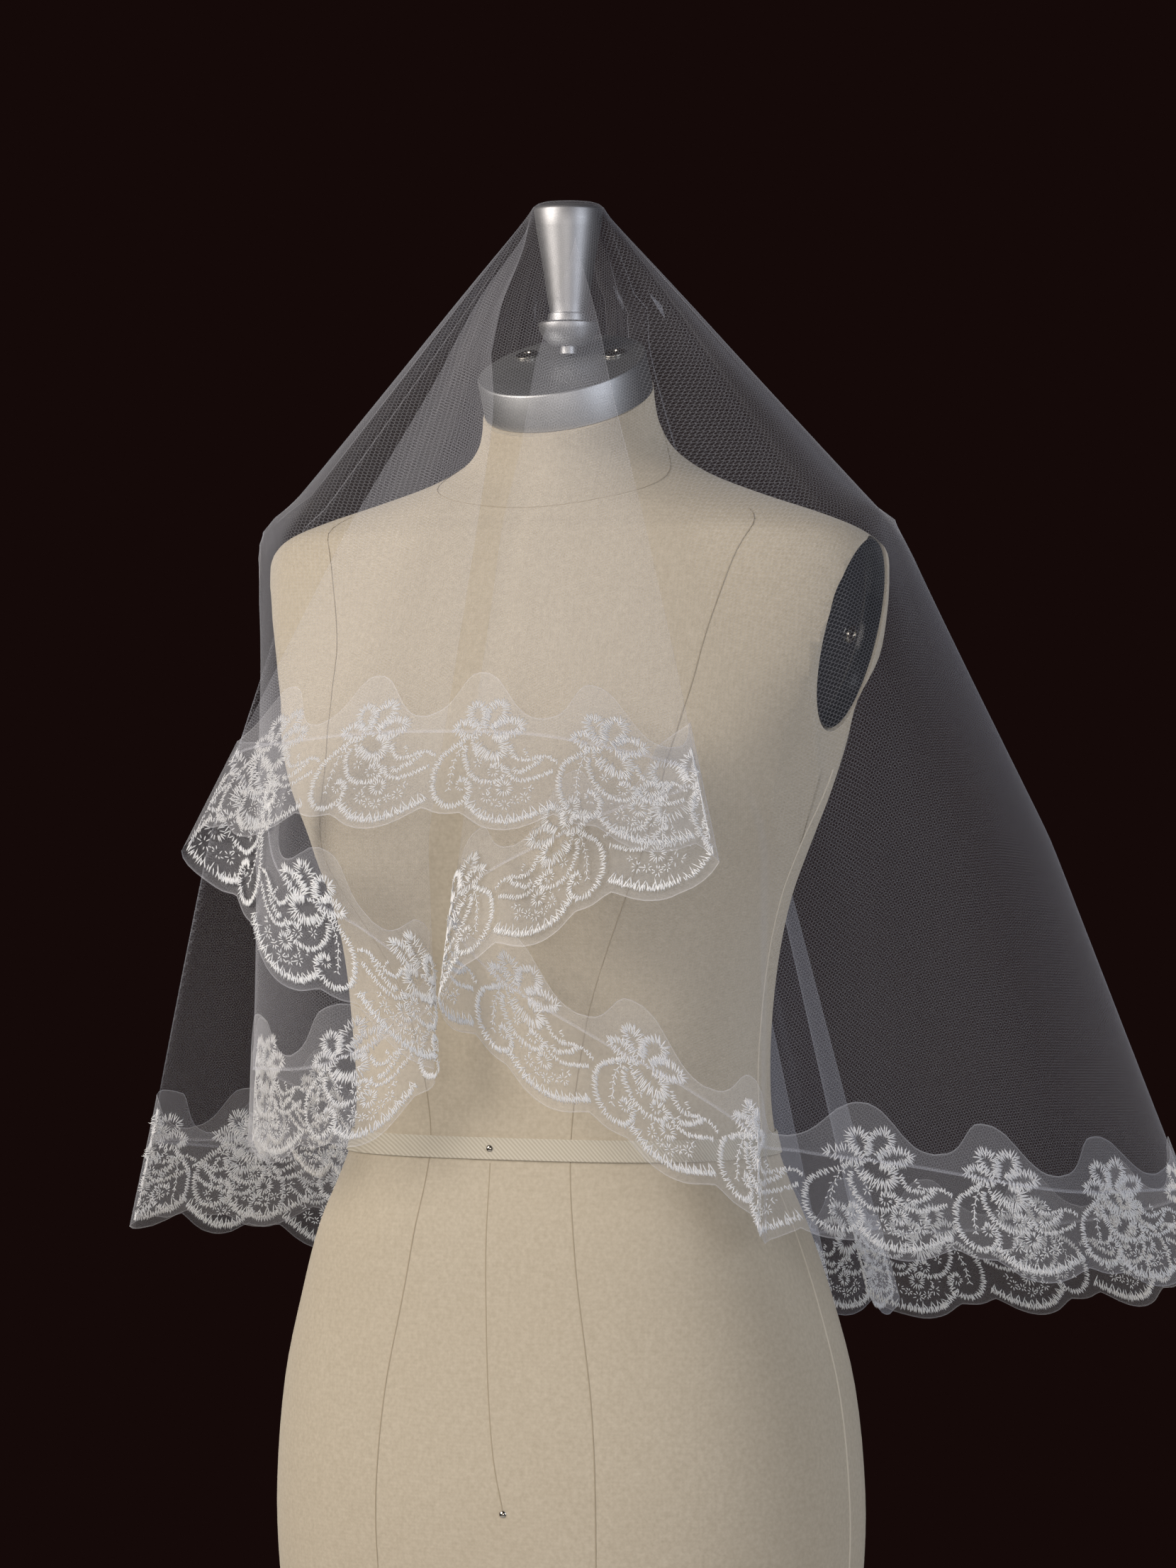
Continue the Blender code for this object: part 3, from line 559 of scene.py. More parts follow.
def drape(run, drop):
    """Middle of the cloth at runs and drops, kept off the form, with its kinks eased."""
    plan = 0
    for step, share in ((-1, 0.25), (0, 0.5), (1, 0.25)):
        eased = drop + step * KINK_SOFTNESS * np.clip((drop - RIM_DROP) / KINK_STARTS_OVER, 0, 1)
        plan = plan + share * between_folds(lambda k: fold_point(k, eased), SOFTNESS, run)
    height = (VEIL_TOP_Z - drop - WAIST_Z) / MM
    azimuth = np.degrees(np.arctan2(plan[:, 0], -plan[:, 1]))
    layer = between_folds(lambda k: LAYERS[k], EVEN, run)
    bare = np.maximum(bare_reach(azimuth, height), bare_reach(azimuth, height - VEIL_SPAN))
    least = bare * MM + FORM_CLEARANCE + LAYER_STEP * layer
    reach = np.linalg.norm(plan, axis=1)
    over = reach - least
    near_plate = np.clip((height - PLATE_EASES_ABOVE) / PLATE_EASES_OVER, 0, 1)
    ease = CLEARING_SOFTNESS + PLATE_SOFTNESS * near_plate
    eased_reach = least + (over + np.sqrt(over * over + ease * ease)) / 2
    fade = np.clip((VEIL_CLEARS_BELOW - height) / VEIL_CLEARS_OVER, 0, 1)
    fade = fade * fade * (3 - 2 * fade)
    kept = reach + (eased_reach - reach) * fade
    plan = plan * (kept / reach)[:, None]
    return np.column_stack([plan, VEIL_TOP_Z - drop])


def hem_runs():
    """Running length of each column of the solids, at equal steps of the real hem."""
    runs = np.linspace(0, HEM_RUN, HEM_SAMPLES + 1)
    points = drape(runs, hem_drop(runs))
    steps = np.linalg.norm(np.diff(points, axis=0), axis=1)
    length = np.concatenate([[0], np.cumsum(steps)])
    columns = REPEATS * COLUMNS_PER_REPEAT
    even = np.interp(np.arange(columns) * length[-1] / columns, length, runs)
    for mark, softness in zip(MARKS, SOFTNESS):
        if softness < 1:
            even[int(np.argmin(np.abs(even - mark)))] = mark
    return even, length[-1]


COARSE_RUNS, HEM_LENGTH = hem_runs()
REPEAT_WIDTH = HEM_LENGTH / REPEATS


def run_at(repeat):
    """Run at a place along the hem, counted in repeats."""
    columns = REPEATS * COLUMNS_PER_REPEAT
    known = np.concatenate([COARSE_RUNS, COARSE_RUNS[:8] + HEM_RUN])
    return np.interp((repeat % REPEATS) * COLUMNS_PER_REPEAT, np.arange(columns + 8), known)


def creased(repeat, drop):
    """How far the creases push the cloth out, at places along the hem and drops."""
    push = np.zeros(len(repeat))
    for place, top, foot, width, depth in CREASES:
        away = (repeat - place + REPEATS / 2) % REPEATS - REPEATS / 2
        across = np.exp(-((away * REPEAT_WIDTH / MM / width) ** 2))
        share = np.clip((drop / MM - top) / (foot - top), 0, 1)
        push += depth * MM * across * np.sin(math.pi * share) ** CREASE_FULLNESS
    return push


def grid_normals(grid):
    """Outward unit normals of a grid of points, closed round its columns."""
    along = np.roll(grid, -1, axis=1) - np.roll(grid, 1, axis=1)
    down = np.empty_like(grid)
    down[1:-1] = grid[2:] - grid[:-2]
    down[0] = grid[1] - grid[0]
    down[-1] = grid[-1] - grid[-2]
    normals = np.cross(down, along)
    return normals / np.maximum(np.linalg.norm(normals, axis=2, keepdims=True), 1e-9)


COLUMNS = REPEATS * FINE_PER_REPEAT
PLACES = np.arange(COLUMNS) / FINE_PER_REPEAT
RUNS = run_at(PLACES)
HEMS = hem_drop(RUNS)


def cloth_grid(drops):
    """Cloth points at rows of drops, one drop a column, with the creases in them."""
    rows = len(drops)
    runs = np.tile(RUNS, rows)
    flat = drops.reshape(-1)
    grid = drape(runs, flat).reshape(rows, COLUMNS, 3)
    push = creased(np.tile(PLACES, rows), flat).reshape(rows, COLUMNS, 1)
    return grid + grid_normals(grid) * push


def charted(line, rough=0.0):
    """Heights of a charted line at every column, in metres, a little uneven where cut by hand."""
    chart = np.array(line, float)
    heights = np.interp(PLACES % 1 * CHART_WIDTH, chart[:, 0], chart[:, 1], period=CHART_WIDTH)
    uneven = sum(np.sin(PLACES * pace + start) * share for pace, start, share in CUT_WAVES)
    return (heights + rough * uneven) * MM


def grid_mesh(name, grid, pole=None):
    """Mesh of a grid closed round its columns, with a closing point above its first row."""
    points = grid.reshape(-1, 3).tolist()
    faces = grid_faces(len(grid), COLUMNS, flipped=True)
    if pole is not None:
        points.append(tuple(pole))
        top = len(points) - 1
        faces += [(top, k, (k + 1) % COLUMNS) for k in range(COLUMNS)]
    return mesh_object(name, points, faces, smooth=True)


def cut_map(grid, pole=None):
    """Where each point lies on the flat cut, in metres from the crown, as (u, v)."""
    start = grid[0]
    first = np.linalg.norm(start - np.array([0, 0, VEIL_TOP_Z]), axis=1)
    steps = np.linalg.norm(np.diff(grid, axis=0), axis=2)
    radius = first + np.concatenate([np.zeros((1, COLUMNS)), np.cumsum(steps, axis=0)])
    hem_steps = np.linalg.norm(np.roll(grid[-1], -1, axis=0) - grid[-1], axis=1)
    turn = np.concatenate([[0], np.cumsum(hem_steps / radius[-1])])
    turn = turn[:-1] / turn[-1] * 2 * math.pi
    flat = np.stack([radius * np.cos(turn), radius * np.sin(turn)], axis=-1).reshape(-1, 2)
    if pole is not None:
        flat = np.vstack([flat, [0, 0]])
    return flat


def set_uv(made, flat):
    """UV map in metres on the cloth, one place for each point."""
    layer = made.data.uv_layers.new(name="cloth")
    corners = np.empty(len(made.data.loops), np.int32)
    made.data.loops.foreach_get("vertex_index", corners)
    layer.data.foreach_set("uv", flat[corners].astype(np.float32).reshape(-1))


def point_values(mesh, name, values):
    """Named attribute with a number or a vector at each point."""
    kind, key = (("FLOAT", "value"), ("FLOAT_VECTOR", "vector"))[values.ndim - 1]
    layer = mesh.attributes.new(name, kind, "POINT")
    layer.data.foreach_set(key, values.astype(np.float32).reshape(-1))


def mark_edge(made, rows):
    """Attribute that is 1 on the given rows of a cloth, where its cut edge shows."""
    marks = np.zeros(len(made.data.vertices))
    for row in rows:
        marks[row * COLUMNS:(row + 1) * COLUMNS] = 1
    point_values(made.data, "edge", marks)


# Materials of the veil.
NET_CELL = 0.0018
NET_THREAD = 0.30
THREAD_PITCH = 0.0011
# Scale of a wave texture whose stripes are a metre apart.
WAVE_SCALE = 6.28


def net_strands(tree, uv):
    """Factor that is 1 on the threads of a hexagonal net and 0 in its holes."""
    size = (NET_CELL, NET_CELL * math.sqrt(3), 1)
    half = (size[0] / 2, size[1] / 2, 0)
    slanted = (0.5, math.sqrt(3) / 2, 0)
    shares = []
    for offset in ((0, 0, 0), half):
        moved = vectors(tree, "ADD", uv, offset)[0]
        wrapped = vectors(tree, "WRAP", moved, (0, 0, 0), size)[0]
        centred = vectors(tree, "SUBTRACT", wrapped, half)[0]
        folded = vectors(tree, "ABSOLUTE", centred)[0]
        across = vectors(tree, "DOT_PRODUCT", folded, (1, 0, 0))["Value"]
        slant = vectors(tree, "DOT_PRODUCT", folded, slanted)["Value"]
        shares.append(calculated(tree, "MAXIMUM", across, slant))
    nearest = calculated(tree, "MINIMUM", *shares)
    hole = NET_CELL / 2 * (1 - NET_THREAD)
    return ranged(tree, nearest, 0.0, 1.0, hole, NET_CELL / 2)


def sheer_alpha(tree, cover, raw_cover, edge_on_cover, blend):
    """Cover of a sheer cloth: its own, and more at its raw edge and where it is seen edge on."""
    raw = add_node(tree, "ShaderNodeAttribute", attribute_name="edge").outputs["Fac"]
    base = calculated(tree, "ADD", cover, calculated(tree, "MULTIPLY", raw, raw_cover))
    facing = add_node(tree, "ShaderNodeLayerWeight", {"Blend": blend}).outputs["Facing"]
    steep = calculated(tree, "POWER", facing, EDGE_ON_POWER)
    seen = calculated(tree, "MULTIPLY", steep, edge_on_cover)
    return calculated(tree, "ADD", base, seen, clamp=True)


def nylon_tulle():
    """Nylon bobbinet tulle: a white knitted net, so sheer that only its edges look white."""
    made, tree, shader = new_material("nylon_bobbinet_tulle")
    # The real net has 1.3 mm cells. They are drawn 1.8 mm wide, so that they show at all.
    cover = ranged(tree, net_strands(tree, on_cloth(tree)), 0.014, 0.138)
    plug(tree, shader, {
        "Base Color": linear("#E9ECF8"),
        "Roughness": 0.55,
        "Sheen Weight": 0.25,
        "Specular IOR Level": 0.35,
        "Alpha": sheer_alpha(tree, cover, 0.20, 0.24, 0.45),
    })
    return made


def silk_organza():
    """Organza: a crisp sheer plain weave, cloudier than the net and smooth at its cut edge."""
    made, tree, shader = new_material("white_silk_organza")
    # Threads are about 0.2 mm apart. The weave is drawn at 1.1 mm.
    ripple = noise(tree, on_cloth(tree), 1 / THREAD_PITCH)
    cover = ranged(tree, ripple, 0.095, 0.135, 0.3, 0.7)
    plug(tree, shader, {
        "Base Color": linear("#EEF0F8"),
        "Roughness": 0.42,
        "Sheen Weight": 0.3,
        "Alpha": sheer_alpha(tree, cover, 0.22, 0.34, 0.4),
    })
    return made


def rayon_thread():
    """Rayon embroidery thread: bright white with a soft lustre along each satin stitch."""
    made, tree, shader = new_material("rayon_embroidery_thread")
    tone = noise(tree, on_piece(tree), 300.0, 1.0)
    plug(tree, shader, {
        "Base Color": mixed(tree, tone, "#F0F3F8", "#FFFFFF"),
        "Roughness": 0.38,
        "Sheen Weight": 0.2,
    })
    return made


# Materials of the form.
def wave(tree, place, pitch, distortion, direction, detail=2.0, detail_scale=1.0):
    """Stripes at a pitch in metres."""
    sockets = {
        "Vector": place, "Scale": 1 / pitch / WAVE_SCALE, "Distortion": distortion,
        "Detail": detail, "Detail Scale": detail_scale,
    }
    made = add_node(tree, "ShaderNodeTexWave", sockets, bands_direction=direction)
    return made.outputs["Fac"]


def unbleached_linen():
    """Unbleached linen: a matt beige plain weave with slubs and a faint mottle."""
    made, tree, shader = new_material("unbleached_linen")
    place = on_piece(tree)
    # Threads are 0.5 mm apart. They are drawn 1.0 mm apart.
    warp, weft = (wave(tree, place, 0.0010, 1.2, way, 1.0, 2.0) for way in "XZ")
    weave = calculated(tree, "MULTIPLY", warp, weft)
    mottle = noise(tree, place, 9.0, 5.0, 0.6)
    slubs = ranged(tree, noise(tree, place, 420.0), 0.0, 0.5, 0.25, 0.75)
    base = mixed(tree, mottle, "#C2B7A4", "#CDC4B3")
    plug(tree, shader, {
        "Base Color": mixed(tree, slubs, base, "#A99E8A"),
        "Normal": bumped(tree, weave, 0.16, 0.0004),
        "Roughness": 0.86,
        "Specular IOR Level": 0.25,
        "Sheen Weight": 0.12,
    })
    return made


def seam_strip_material(name, hex_colour, roughness=0.8):
    """Matt seam strip with a fine fibre bump: pale piping, or a seam line whose darker colour is
    painted shade of its groove.
    """
    made, tree, shader = new_material(name)
    plug(tree, shader, {
        "Base Color": linear(hex_colour),
        "Normal": bumped(tree, noise(tree, on_piece(tree), 900.0), 0.3, 0.0002),
        "Roughness": roughness,
    })
    return made


def cotton_twill():
    """Cotton twill tape: fine slanting ribs and a faint shade between them."""
    made, tree, shader = new_material("cotton_twill_tape")
    ribs = wave(tree, on_piece(tree), 0.00069, 0.4, "DIAGONAL")
    plug(tree, shader, {
        "Base Color": mixed(tree, ribs, "#B9B1A0", "#CFC9BB"),
        "Normal": bumped(tree, ribs, 0.4, 0.0003),
        "Roughness": 0.75,
    })
    return made


def aluminium(name, hex_colour, roughness, brush):
    """Aluminium with fine scratches that follow its turning or brushing."""
    made, tree, shader = new_material(name)
    stretched = add_node(tree, "ShaderNodeMapping", {0: on_piece(tree), 3: brush}).outputs[0]
    scratches = noise(tree, stretched, 60.0, 4.0)
    plug(tree, shader, {
        "Base Color": linear(hex_colour),
        "Metallic": 1.0,
        "Roughness": ranged(tree, scratches, roughness - 0.015, roughness + 0.02, 0.3, 0.7),
        "Normal": bumped(tree, scratches, 0.03, 0.0001),
    })
    return made


def smoked_acrylic():
    """Moulded smoked acrylic: a dark glossy plate with faint rubbing marks."""
    made, tree, shader = new_material("smoked_acrylic")
    rubbed = noise(tree, on_piece(tree), 35.0, 6.0)
    plug(tree, shader, {
        "Base Color": linear("#2C2D31"),
        "Roughness": ranged(tree, rubbed, 0.10, 0.24, 0.35, 0.75),
        "IOR": 1.49,
        "Coat Weight": 0.3,
    })
    return made


def painted_iron():
    """Cast iron under satin black paint, which rounds the casting's grain."""
    made, tree, shader = new_material("satin_painted_cast_iron")
    place = on_piece(tree)
    plug(tree, shader, {
        "Base Color": mixed(tree, noise(tree, place, 12.0), "#242425", "#333332"),
        "Normal": bumped(tree, noise(tree, place, 260.0, 3.0), 0.25, 0.0006),
        "Roughness": 0.42,
    })
    return made


TULLE = nylon_tulle()
ORGANZA = silk_organza()
THREAD = rayon_thread()
LINEN = unbleached_linen()
# Seam lines are drawn darker than the linen. The colour is painted shade of the seams' grooves, put
# on raised strips.
SEAM_PAINTED_SHADE = seam_strip_material("seam_groove_painted_shade", "#AB9F8A")
SEAM_PIPING = seam_strip_material("side_seam_linen", "#D6CDBC")
TWILL = cotton_twill()
SATIN_ALUMINIUM = aluminium("turned_satin_aluminium", "#B4B5B8", 0.50, (1, 1, 14))
BRUSHED_ALUMINIUM = aluminium("brushed_aluminium", "#B8BABD", 0.50, (1, 1, 10))
STEEL = aluminium("nickel_plated_steel", "#B8B4AC", 0.22, (1, 1, 1))
ACRYLIC = smoked_acrylic()
IRON = painted_iron()


def finished(made, material, slot, *nodes):
    """Gives a piece its material, and joins it to the frame in place of the named nodes."""
    made.data.materials.clear()
    made.data.materials.append(material)
    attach(made, "root")
    if nodes:
        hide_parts(*nodes)
    return made


def evaluated(made, name):
    """Plain mesh object of a piece with its modifiers, in its place."""
    bpy.context.view_layer.update()
    seen = made.evaluated_get(bpy.context.evaluated_depsgraph_get())
    mesh = bpy.data.meshes.new_from_object(seen)
    mesh.transform(made.matrix_world)
    bpy.data.objects.remove(made, do_unlink=True)
    mesh.name = name
    return add_object(name, mesh)


def turned(name, profile, steps, place=None, sharp=35):
    """Turned piece from (radius, height) pairs down its outer side, from axis to axis."""
    points = [(radius, 0, height) for radius, height in profile]
    edges = [(i, i + 1) for i in range(len(points) - 1)]
    made = mesh_object(name, points, [], edges)
    if place is not None:
        made.matrix_world = place
    screw = made.modifiers.new("turn", "SCREW")
    screw.steps = steps
    screw.render_steps = steps
    screw.use_merge_vertices = True
    screw.merge_threshold = MERGE_WITHIN
    plain = evaluated(made, name)
    plain.data.shade_smooth()
    plain.data.set_sharp_from_angle(angle=math.radians(sharp))
    return plain


def profile_at(rows, level, way=1):
    """Profile in metres from a table in millimetres, running up (1) or down (-1) from a level."""
    return [(radius * MM, level + way * run * MM) for radius, run in rows]


# The veil.
def build_tulle():
    """Net from the crown to its raw edge, which shows through the edging as a thin line."""
    start = RIM_DROP
    end = HEMS - RAW_EDGE_ABOVE_HEM
    shares = np.linspace(0, 1, SKIRT_ROWS) ** ROWS_CROWD_UP
    drops = start + shares[:, None] * (end - 2 * EDGE_LINE - start)
    drops = np.vstack([drops, end - EDGE_LINE, end])
    skirt = cloth_grid(drops)
    rim = skirt[0]
    way = rim[:, :2] / np.linalg.norm(rim[:, :2], axis=1, keepdims=True)
    crown = []
    for step in range(1, CROWN_ROWS):
        share = step / CROWN_ROWS
        height = VEIL_TOP_Z - RIM_DROP * share ** CROWN_FLATNESS
        level = np.full((COLUMNS, 1), height)
        crown.append(np.hstack([way * RIM_RADIUS * share, level]))
    grid = np.concatenate([np.array(crown), skirt])
    pole = (0, 0, VEIL_TOP_Z)
    made = grid_mesh("veil_net", grid, pole)
    set_uv(made, cut_map(grid, pole))
    mark_edge(made, range(len(grid) - 2, len(grid)))
    return finished(made, TULLE, "white_tulle", "veil_tulle")


def band_grid(rises):
    """Edging points at heights above the hem's lowest line, one row of heights for each row."""
    drops = HEMS[None, :] - rises
    grid = cloth_grid(drops)
    return grid + grid_normals(grid) * EDGING_OUT


def build_organza():
    """Sheer strip with a wavy upper edge over the flowers and a scalloped lower one."""
    top = charted(BAND_TOP, CUT_UNEVENNESS)
    foot = charted(BAND_FOOT)
    shares = np.linspace(0, 1, BAND_ROWS)[:, None]
    inner = (top - EDGE_LINE) * (1 - shares) + (foot + EDGE_LINE) * shares
    rises = np.vstack([top, inner, foot])
    grid = band_grid(rises)
    made = grid_mesh("edging_organza", grid)
    around = np.tile(PLACES * REPEAT_WIDTH, len(grid))
    set_uv(made, np.column_stack([around, rises.reshape(-1)]))
    mark_edge(made, (0, len(grid) - 1))
    return finished(made, ORGANZA, "embroidered_organza", "lace_edging")


# The embroidery of one repeat, on the same chart. Satin lines are zigzags. A zigzag that hangs
# has the line at its outer edge. The pitch is from stitch to stitch, and lengths are millimetres.
BORDER_LINE = (
    (21.1, 14.1), (25.3, 10.1), (30.5, 6.0), (36.8, 4.5), (44.2, 4.0), (51.6, 5.5),
    (58.9, 8.6), (65.3, 12.1), (70.5, 15.1),
)
SATIN_LINES = (
    # name, first stitch, last stitch, pitch, hangs, points along the line
    ("petal_top_left", 5.8, 6.2, 0.9, 0,
     ((25.3, 54.5), (21.1, 58.1), (17.9, 63.6), (18.9, 67.1), (23.2, 68.2), (26.8, 65.6),
      (28.4, 61.1), (26.8, 55.5))),
    ("petal_top_right", 6.0, 6.4, 0.9, 0,
     ((27.4, 56.5), (27.9, 61.6), (30.5, 66.6), (36.3, 69.7), (40, 67.6), (40, 63.1),
      (37.4, 59.6), (32.6, 55.5))),
    ("petal_right", 6.0, 6.2, 0.9, 0,
     ((32.6, 55), (37.9, 59), (44.2, 60.2), (50, 58.6), (50.5, 56.5), (46.3, 53.5),
      (40, 51.5), (33.7, 51.5))),
    ("petal_left", 5.6, 5.8, 0.9, 0,
     ((24.2, 51.5), (18.9, 50.5), (13.7, 52.5), (10, 55), (12.6, 57), (17.9, 58.6),
      (22.1, 56.5))),
    ("petal_low", 7.2, 7.6, 0.8, 0,
     ((34.7, 51), (39.5, 49.5), (41, 44.4), (38.5, 40.4), (33.7, 39.9), (27.9, 42.4),
      (24.2, 45.9))),
    ("flower_heart", 3.0, 3.0, 0.9, 0, ((24, 50), (27.5, 53.5), (31.5, 52))),
    ("stalk", 3.2, 2.4, 0.9, 0, ((21, 49.5), (23.2, 44.4), (25.3, 40.4))),
    ("scroll", 4.2, 4.4, 0.85, 0,
     ((17.9, 49.5), (11.6, 44.9), (5.3, 39.4), (2.6, 32.3), (2.6, 25.2), (5.3, 18.2),
      (11.6, 13.6), (17.9, 14.1), (22.6, 18.2), (23.7, 23.2), (21.1, 27.2), (17.4, 27.7))),
    ("curve", 4.2, 4.0, 0.85, 0,
     ((18.9, 45.4), (17.9, 41.4), (19.5, 36.3), (23.2, 30.3), (29.5, 26.7), (36.8, 26.7),
      (41.6, 29.8), (41.6, 33.8), (37.9, 35.8), (34.2, 35.3))),
    ("leaf_upper", 3.8, 2.8, 0.85, 0,
     ((44.2, 46.4), (45.8, 42.4), (49.5, 39.4), (54.7, 39.4), (61, 41.9), (66.3, 42.4),
      (71, 40.2))),
    ("leaf_lower", 4.2, 4.0, 0.85, 0,
     ((62.1, 40.9), (57.9, 36.8), (53.7, 34.3), (49.5, 32.3), (47.4, 34.3))),
    ("leaf_feather", 2.8, 2.2, 0.9, 0, ((52.6, 45.2), (54.6, 41.4))),
    ("long_arc", 3.4, 3.4, 0.85, 0,
     ((43.7, 34.3), (45.3, 30.3), (50.5, 28.3), (56.8, 29.3), (63.2, 32.3), (68.4, 34.8))),
    ("border", 4.4, 4.4, 0.8, 1, BORDER_LINE),
    ("border_spikes", 7.0, 7.4, 2.3, 1, BORDER_LINE),
)
RUNNING_LINES = (
    # name, stitch, twig, points along the line
    ("sprig", 2.0, 2.4, ((16.8, 47.4), (14.2, 41.4), (12.6, 35.3), (12.1, 29.3), (12.1, 22.7))),
    ("short_row_left", 1.6, 2.6, ((29.5, 23.2), (33.5, 22.6))),
    ("short_row_right", 1.6, 2.6, ((54, 24.2), (58.5, 24.8))),
)
RADIAL_STITCHES = (
    # along, up, from radius, to radius, stitches
    (18.9, 24.7, 1.4, 4.0, 12),
    (35.8, 32.4, 1.3, 3.6, 11),
    (42.6, 23.6, 1.4, 5.4, 18),
    (33.8, 18.2, 0.9, 3.5, 8),
    (43.7, 14.6, 0.9, 3.5, 8),
    (54.2, 19.6, 0.9, 3.5, 8),
    (49.0, 17.6, 0.7, 2.8, 7),
    (38.6, 15.4, 0.7, 2.8, 7),
    (26.8, 36.4, 0.4, 3.0, 6),
)
STITCH_WIDTH = 0.00088
STITCH_HEIGHT = 0.00046
LENGTH_SPREAD = 0.28
TURN_SPREAD = 0.10
PLACE_SPREAD = 0.22
STITCH_PIECES = 4
STITCH_FLOAT = 0.9
TWIG_ANGLE = 50
RAY_TURN = 11
CURVE_STEPS = 20
SEWING_STEP = 0.003
SEWING_TOP = 0.090
THREAD_SEED = 7


def smooth_line(points, pitch):
    """Points at even steps on a smooth curve through the given ones, with its directions."""
    p = np.array(points, float)
    p = np.vstack([2 * p[0] - p[1], p, 2 * p[-1] - p[-2]])
    fine = []
    for i in range(1, len(p) - 2):
        for share in np.linspace(0, 1, CURVE_STEPS, endpoint=False):
            fine.append(hermite(
                p[i], p[i + 1], (p[i + 1] - p[i - 1]) / 2, (p[i + 2] - p[i]) / 2, share
            ))
    fine.append(p[-2])
    fine = np.array(fine)
    length = np.concatenate([[0], np.cumsum(np.linalg.norm(np.diff(fine, axis=0), axis=1))])
    count = max(int(length[-1] / pitch), 2)
    at = np.linspace(0, length[-1], count)
    even = np.column_stack([np.interp(at, length, fine[:, 0]), np.interp(at, length, fine[:, 1])])
    ways = np.gradient(even, axis=0)
    return even, ways / np.linalg.norm(ways, axis=1, keepdims=True)


def turned_way(way, degrees):
    """Flat directions turned by degrees."""
    a = np.radians(degrees)
    return np.column_stack([
        way[:, 0] * np.cos(a) - way[:, 1] * np.sin(a),
        way[:, 0] * np.sin(a) + way[:, 1] * np.cos(a),
    ])


def motif_stitches():
    """Stitches of one repeat on the chart: middle, direction and length of each."""
    middles, ways, lengths = [], [], []

    def sew(middle, way, length):
        middles.append(middle)
        ways.append(way)
        lengths.append(np.broadcast_to(length, (len(middle),)))

    for _, first, last, pitch, hangs, points in SATIN_LINES:
        line, along = smooth_line(points, pitch)
        length = np.linspace(first, last, len(line))
        slant = np.degrees(np.arctan(pitch / length)) * (-1.0) ** np.arange(len(line))
        across = turned_way(along, 90)
        sew(line + across * length[:, None] / 2 * hangs, turned_way(across, slant), length)
    for _, length, twig, points in RUNNING_LINES:
        line, along = smooth_line(points, length * STITCH_FLOAT)
        sew(line, along, length)
        for side in (-1, 1):
            out = turned_way(along[1::2], side * TWIG_ANGLE)
            sew(line[1::2] + out * twig / 2, out, twig)
    for x, y, near, far, count in RADIAL_STITCHES:
        rays = compass_flat(np.arange(count) * 360 / count + x * RAY_TURN)
        sew(np.array([x, y]) + rays * (near + far) / 2, rays, far - near)
    return np.vstack(middles), np.vstack(ways), np.concatenate(lengths)


def compass_flat(degrees):
    """Direction on the flat cloth, counted from the hem's own direction."""
    return np.column_stack([np.cos(np.radians(degrees)), np.sin(np.radians(degrees))])


def sewn_on(places, rises):
    """World points, directions along the hem and up, and normals, on the edging's surface."""
    levels = np.arange(-SEWING_STEP, SEWING_TOP, SEWING_STEP)
    grid = band_grid(np.tile(levels[:, None], (1, COLUMNS)))
    normals = grid_normals(grid)
    column = (places * FINE_PER_REPEAT) % COLUMNS
    row = np.clip((rises - levels[0]) / SEWING_STEP, 0, len(levels) - 1.001)
    c0 = np.floor(column).astype(int)
    r0 = np.floor(row).astype(int)
    cs = (column - c0)[:, None]
    rs = (row - r0)[:, None]
    c1 = (c0 + 1) % COLUMNS
    low = grid[r0, c0] * (1 - cs) + grid[r0, c1] * cs
    high = grid[r0 + 1, c0] * (1 - cs) + grid[r0 + 1, c1] * cs
    along = grid[r0, c1] - grid[r0, c0]
    up = high - low
    normal = normals[r0, c0] * (1 - cs) + normals[r0, c1] * cs
    unit = [v / np.linalg.norm(v, axis=1, keepdims=True) for v in (along, up, normal)]
    return low * (1 - rs) + high * rs, *unit


def stitch_tree():
    """Geometry Nodes: one spindle-shaped stitch on each point, turned and sized by it."""
    tree = bpy.data.node_groups.new("satin_stitches", "GeometryNodeTree")
    for name, way, kind in (
        ("Geometry", "INPUT", "Geometry"),
        ("Thread width", "INPUT", "Float"),
        ("Thread height", "INPUT", "Float"),
        ("Material", "INPUT", "Material"),
        ("Geometry", "OUTPUT", "Geometry"),
    ):
        tree.interface.new_socket(name, in_out=way, socket_type="NodeSocket" + kind)
    given = add_node(tree, "NodeGroupInput").outputs

    def chained(kind, sockets, **settings):
        return add_node(tree, kind, sockets, **settings).outputs[0]

    def told(name, kind):
        return chained("GeometryNodeInputNamedAttribute", {"Name": name}, data_type=kind)

    spindle = chained("GeometryNodeMeshUVSphere", {"Segments": 3, "Rings": 3, "Radius": 0.5})
    lying = chained(
        "FunctionNodeAlignRotationToVector", {"Vector": told("along", "FLOAT_VECTOR")}, axis="Z"
    )
    facing = chained(
        "FunctionNodeAlignRotationToVector",
        {"Rotation": lying, "Vector": told("normal", "FLOAT_VECTOR")}, axis="X", pivot_axis="Z",
    )
    size = {0: given["Thread height"], 1: given["Thread width"], 2: told("length", "FLOAT")}
    placed = chained("GeometryNodeInstanceOnPoints", {
        "Points": chained("GeometryNodeMeshToPoints", {"Mesh": given["Geometry"]}),
        "Instance": chained("GeometryNodeSetShadeSmooth", {"Geometry": spindle}),
        "Rotation": facing,
        "Scale": chained("ShaderNodeCombineXYZ", size),
    })
    real = chained("GeometryNodeRealizeInstances", {0: placed})
    coloured = chained("GeometryNodeSetMaterial", {0: real, "Material": given["Material"]})
    add_node(tree, "NodeGroupOutput", {0: coloured})
    return tree


def socket_of(tree, name):
    """Identifier of a tree's named input, by which its modifier sets it."""
    for item in tree.interface.items_tree:
        if item.in_out == "INPUT" and item.name == name:
            return item.identifier
    raise KeyError(name)


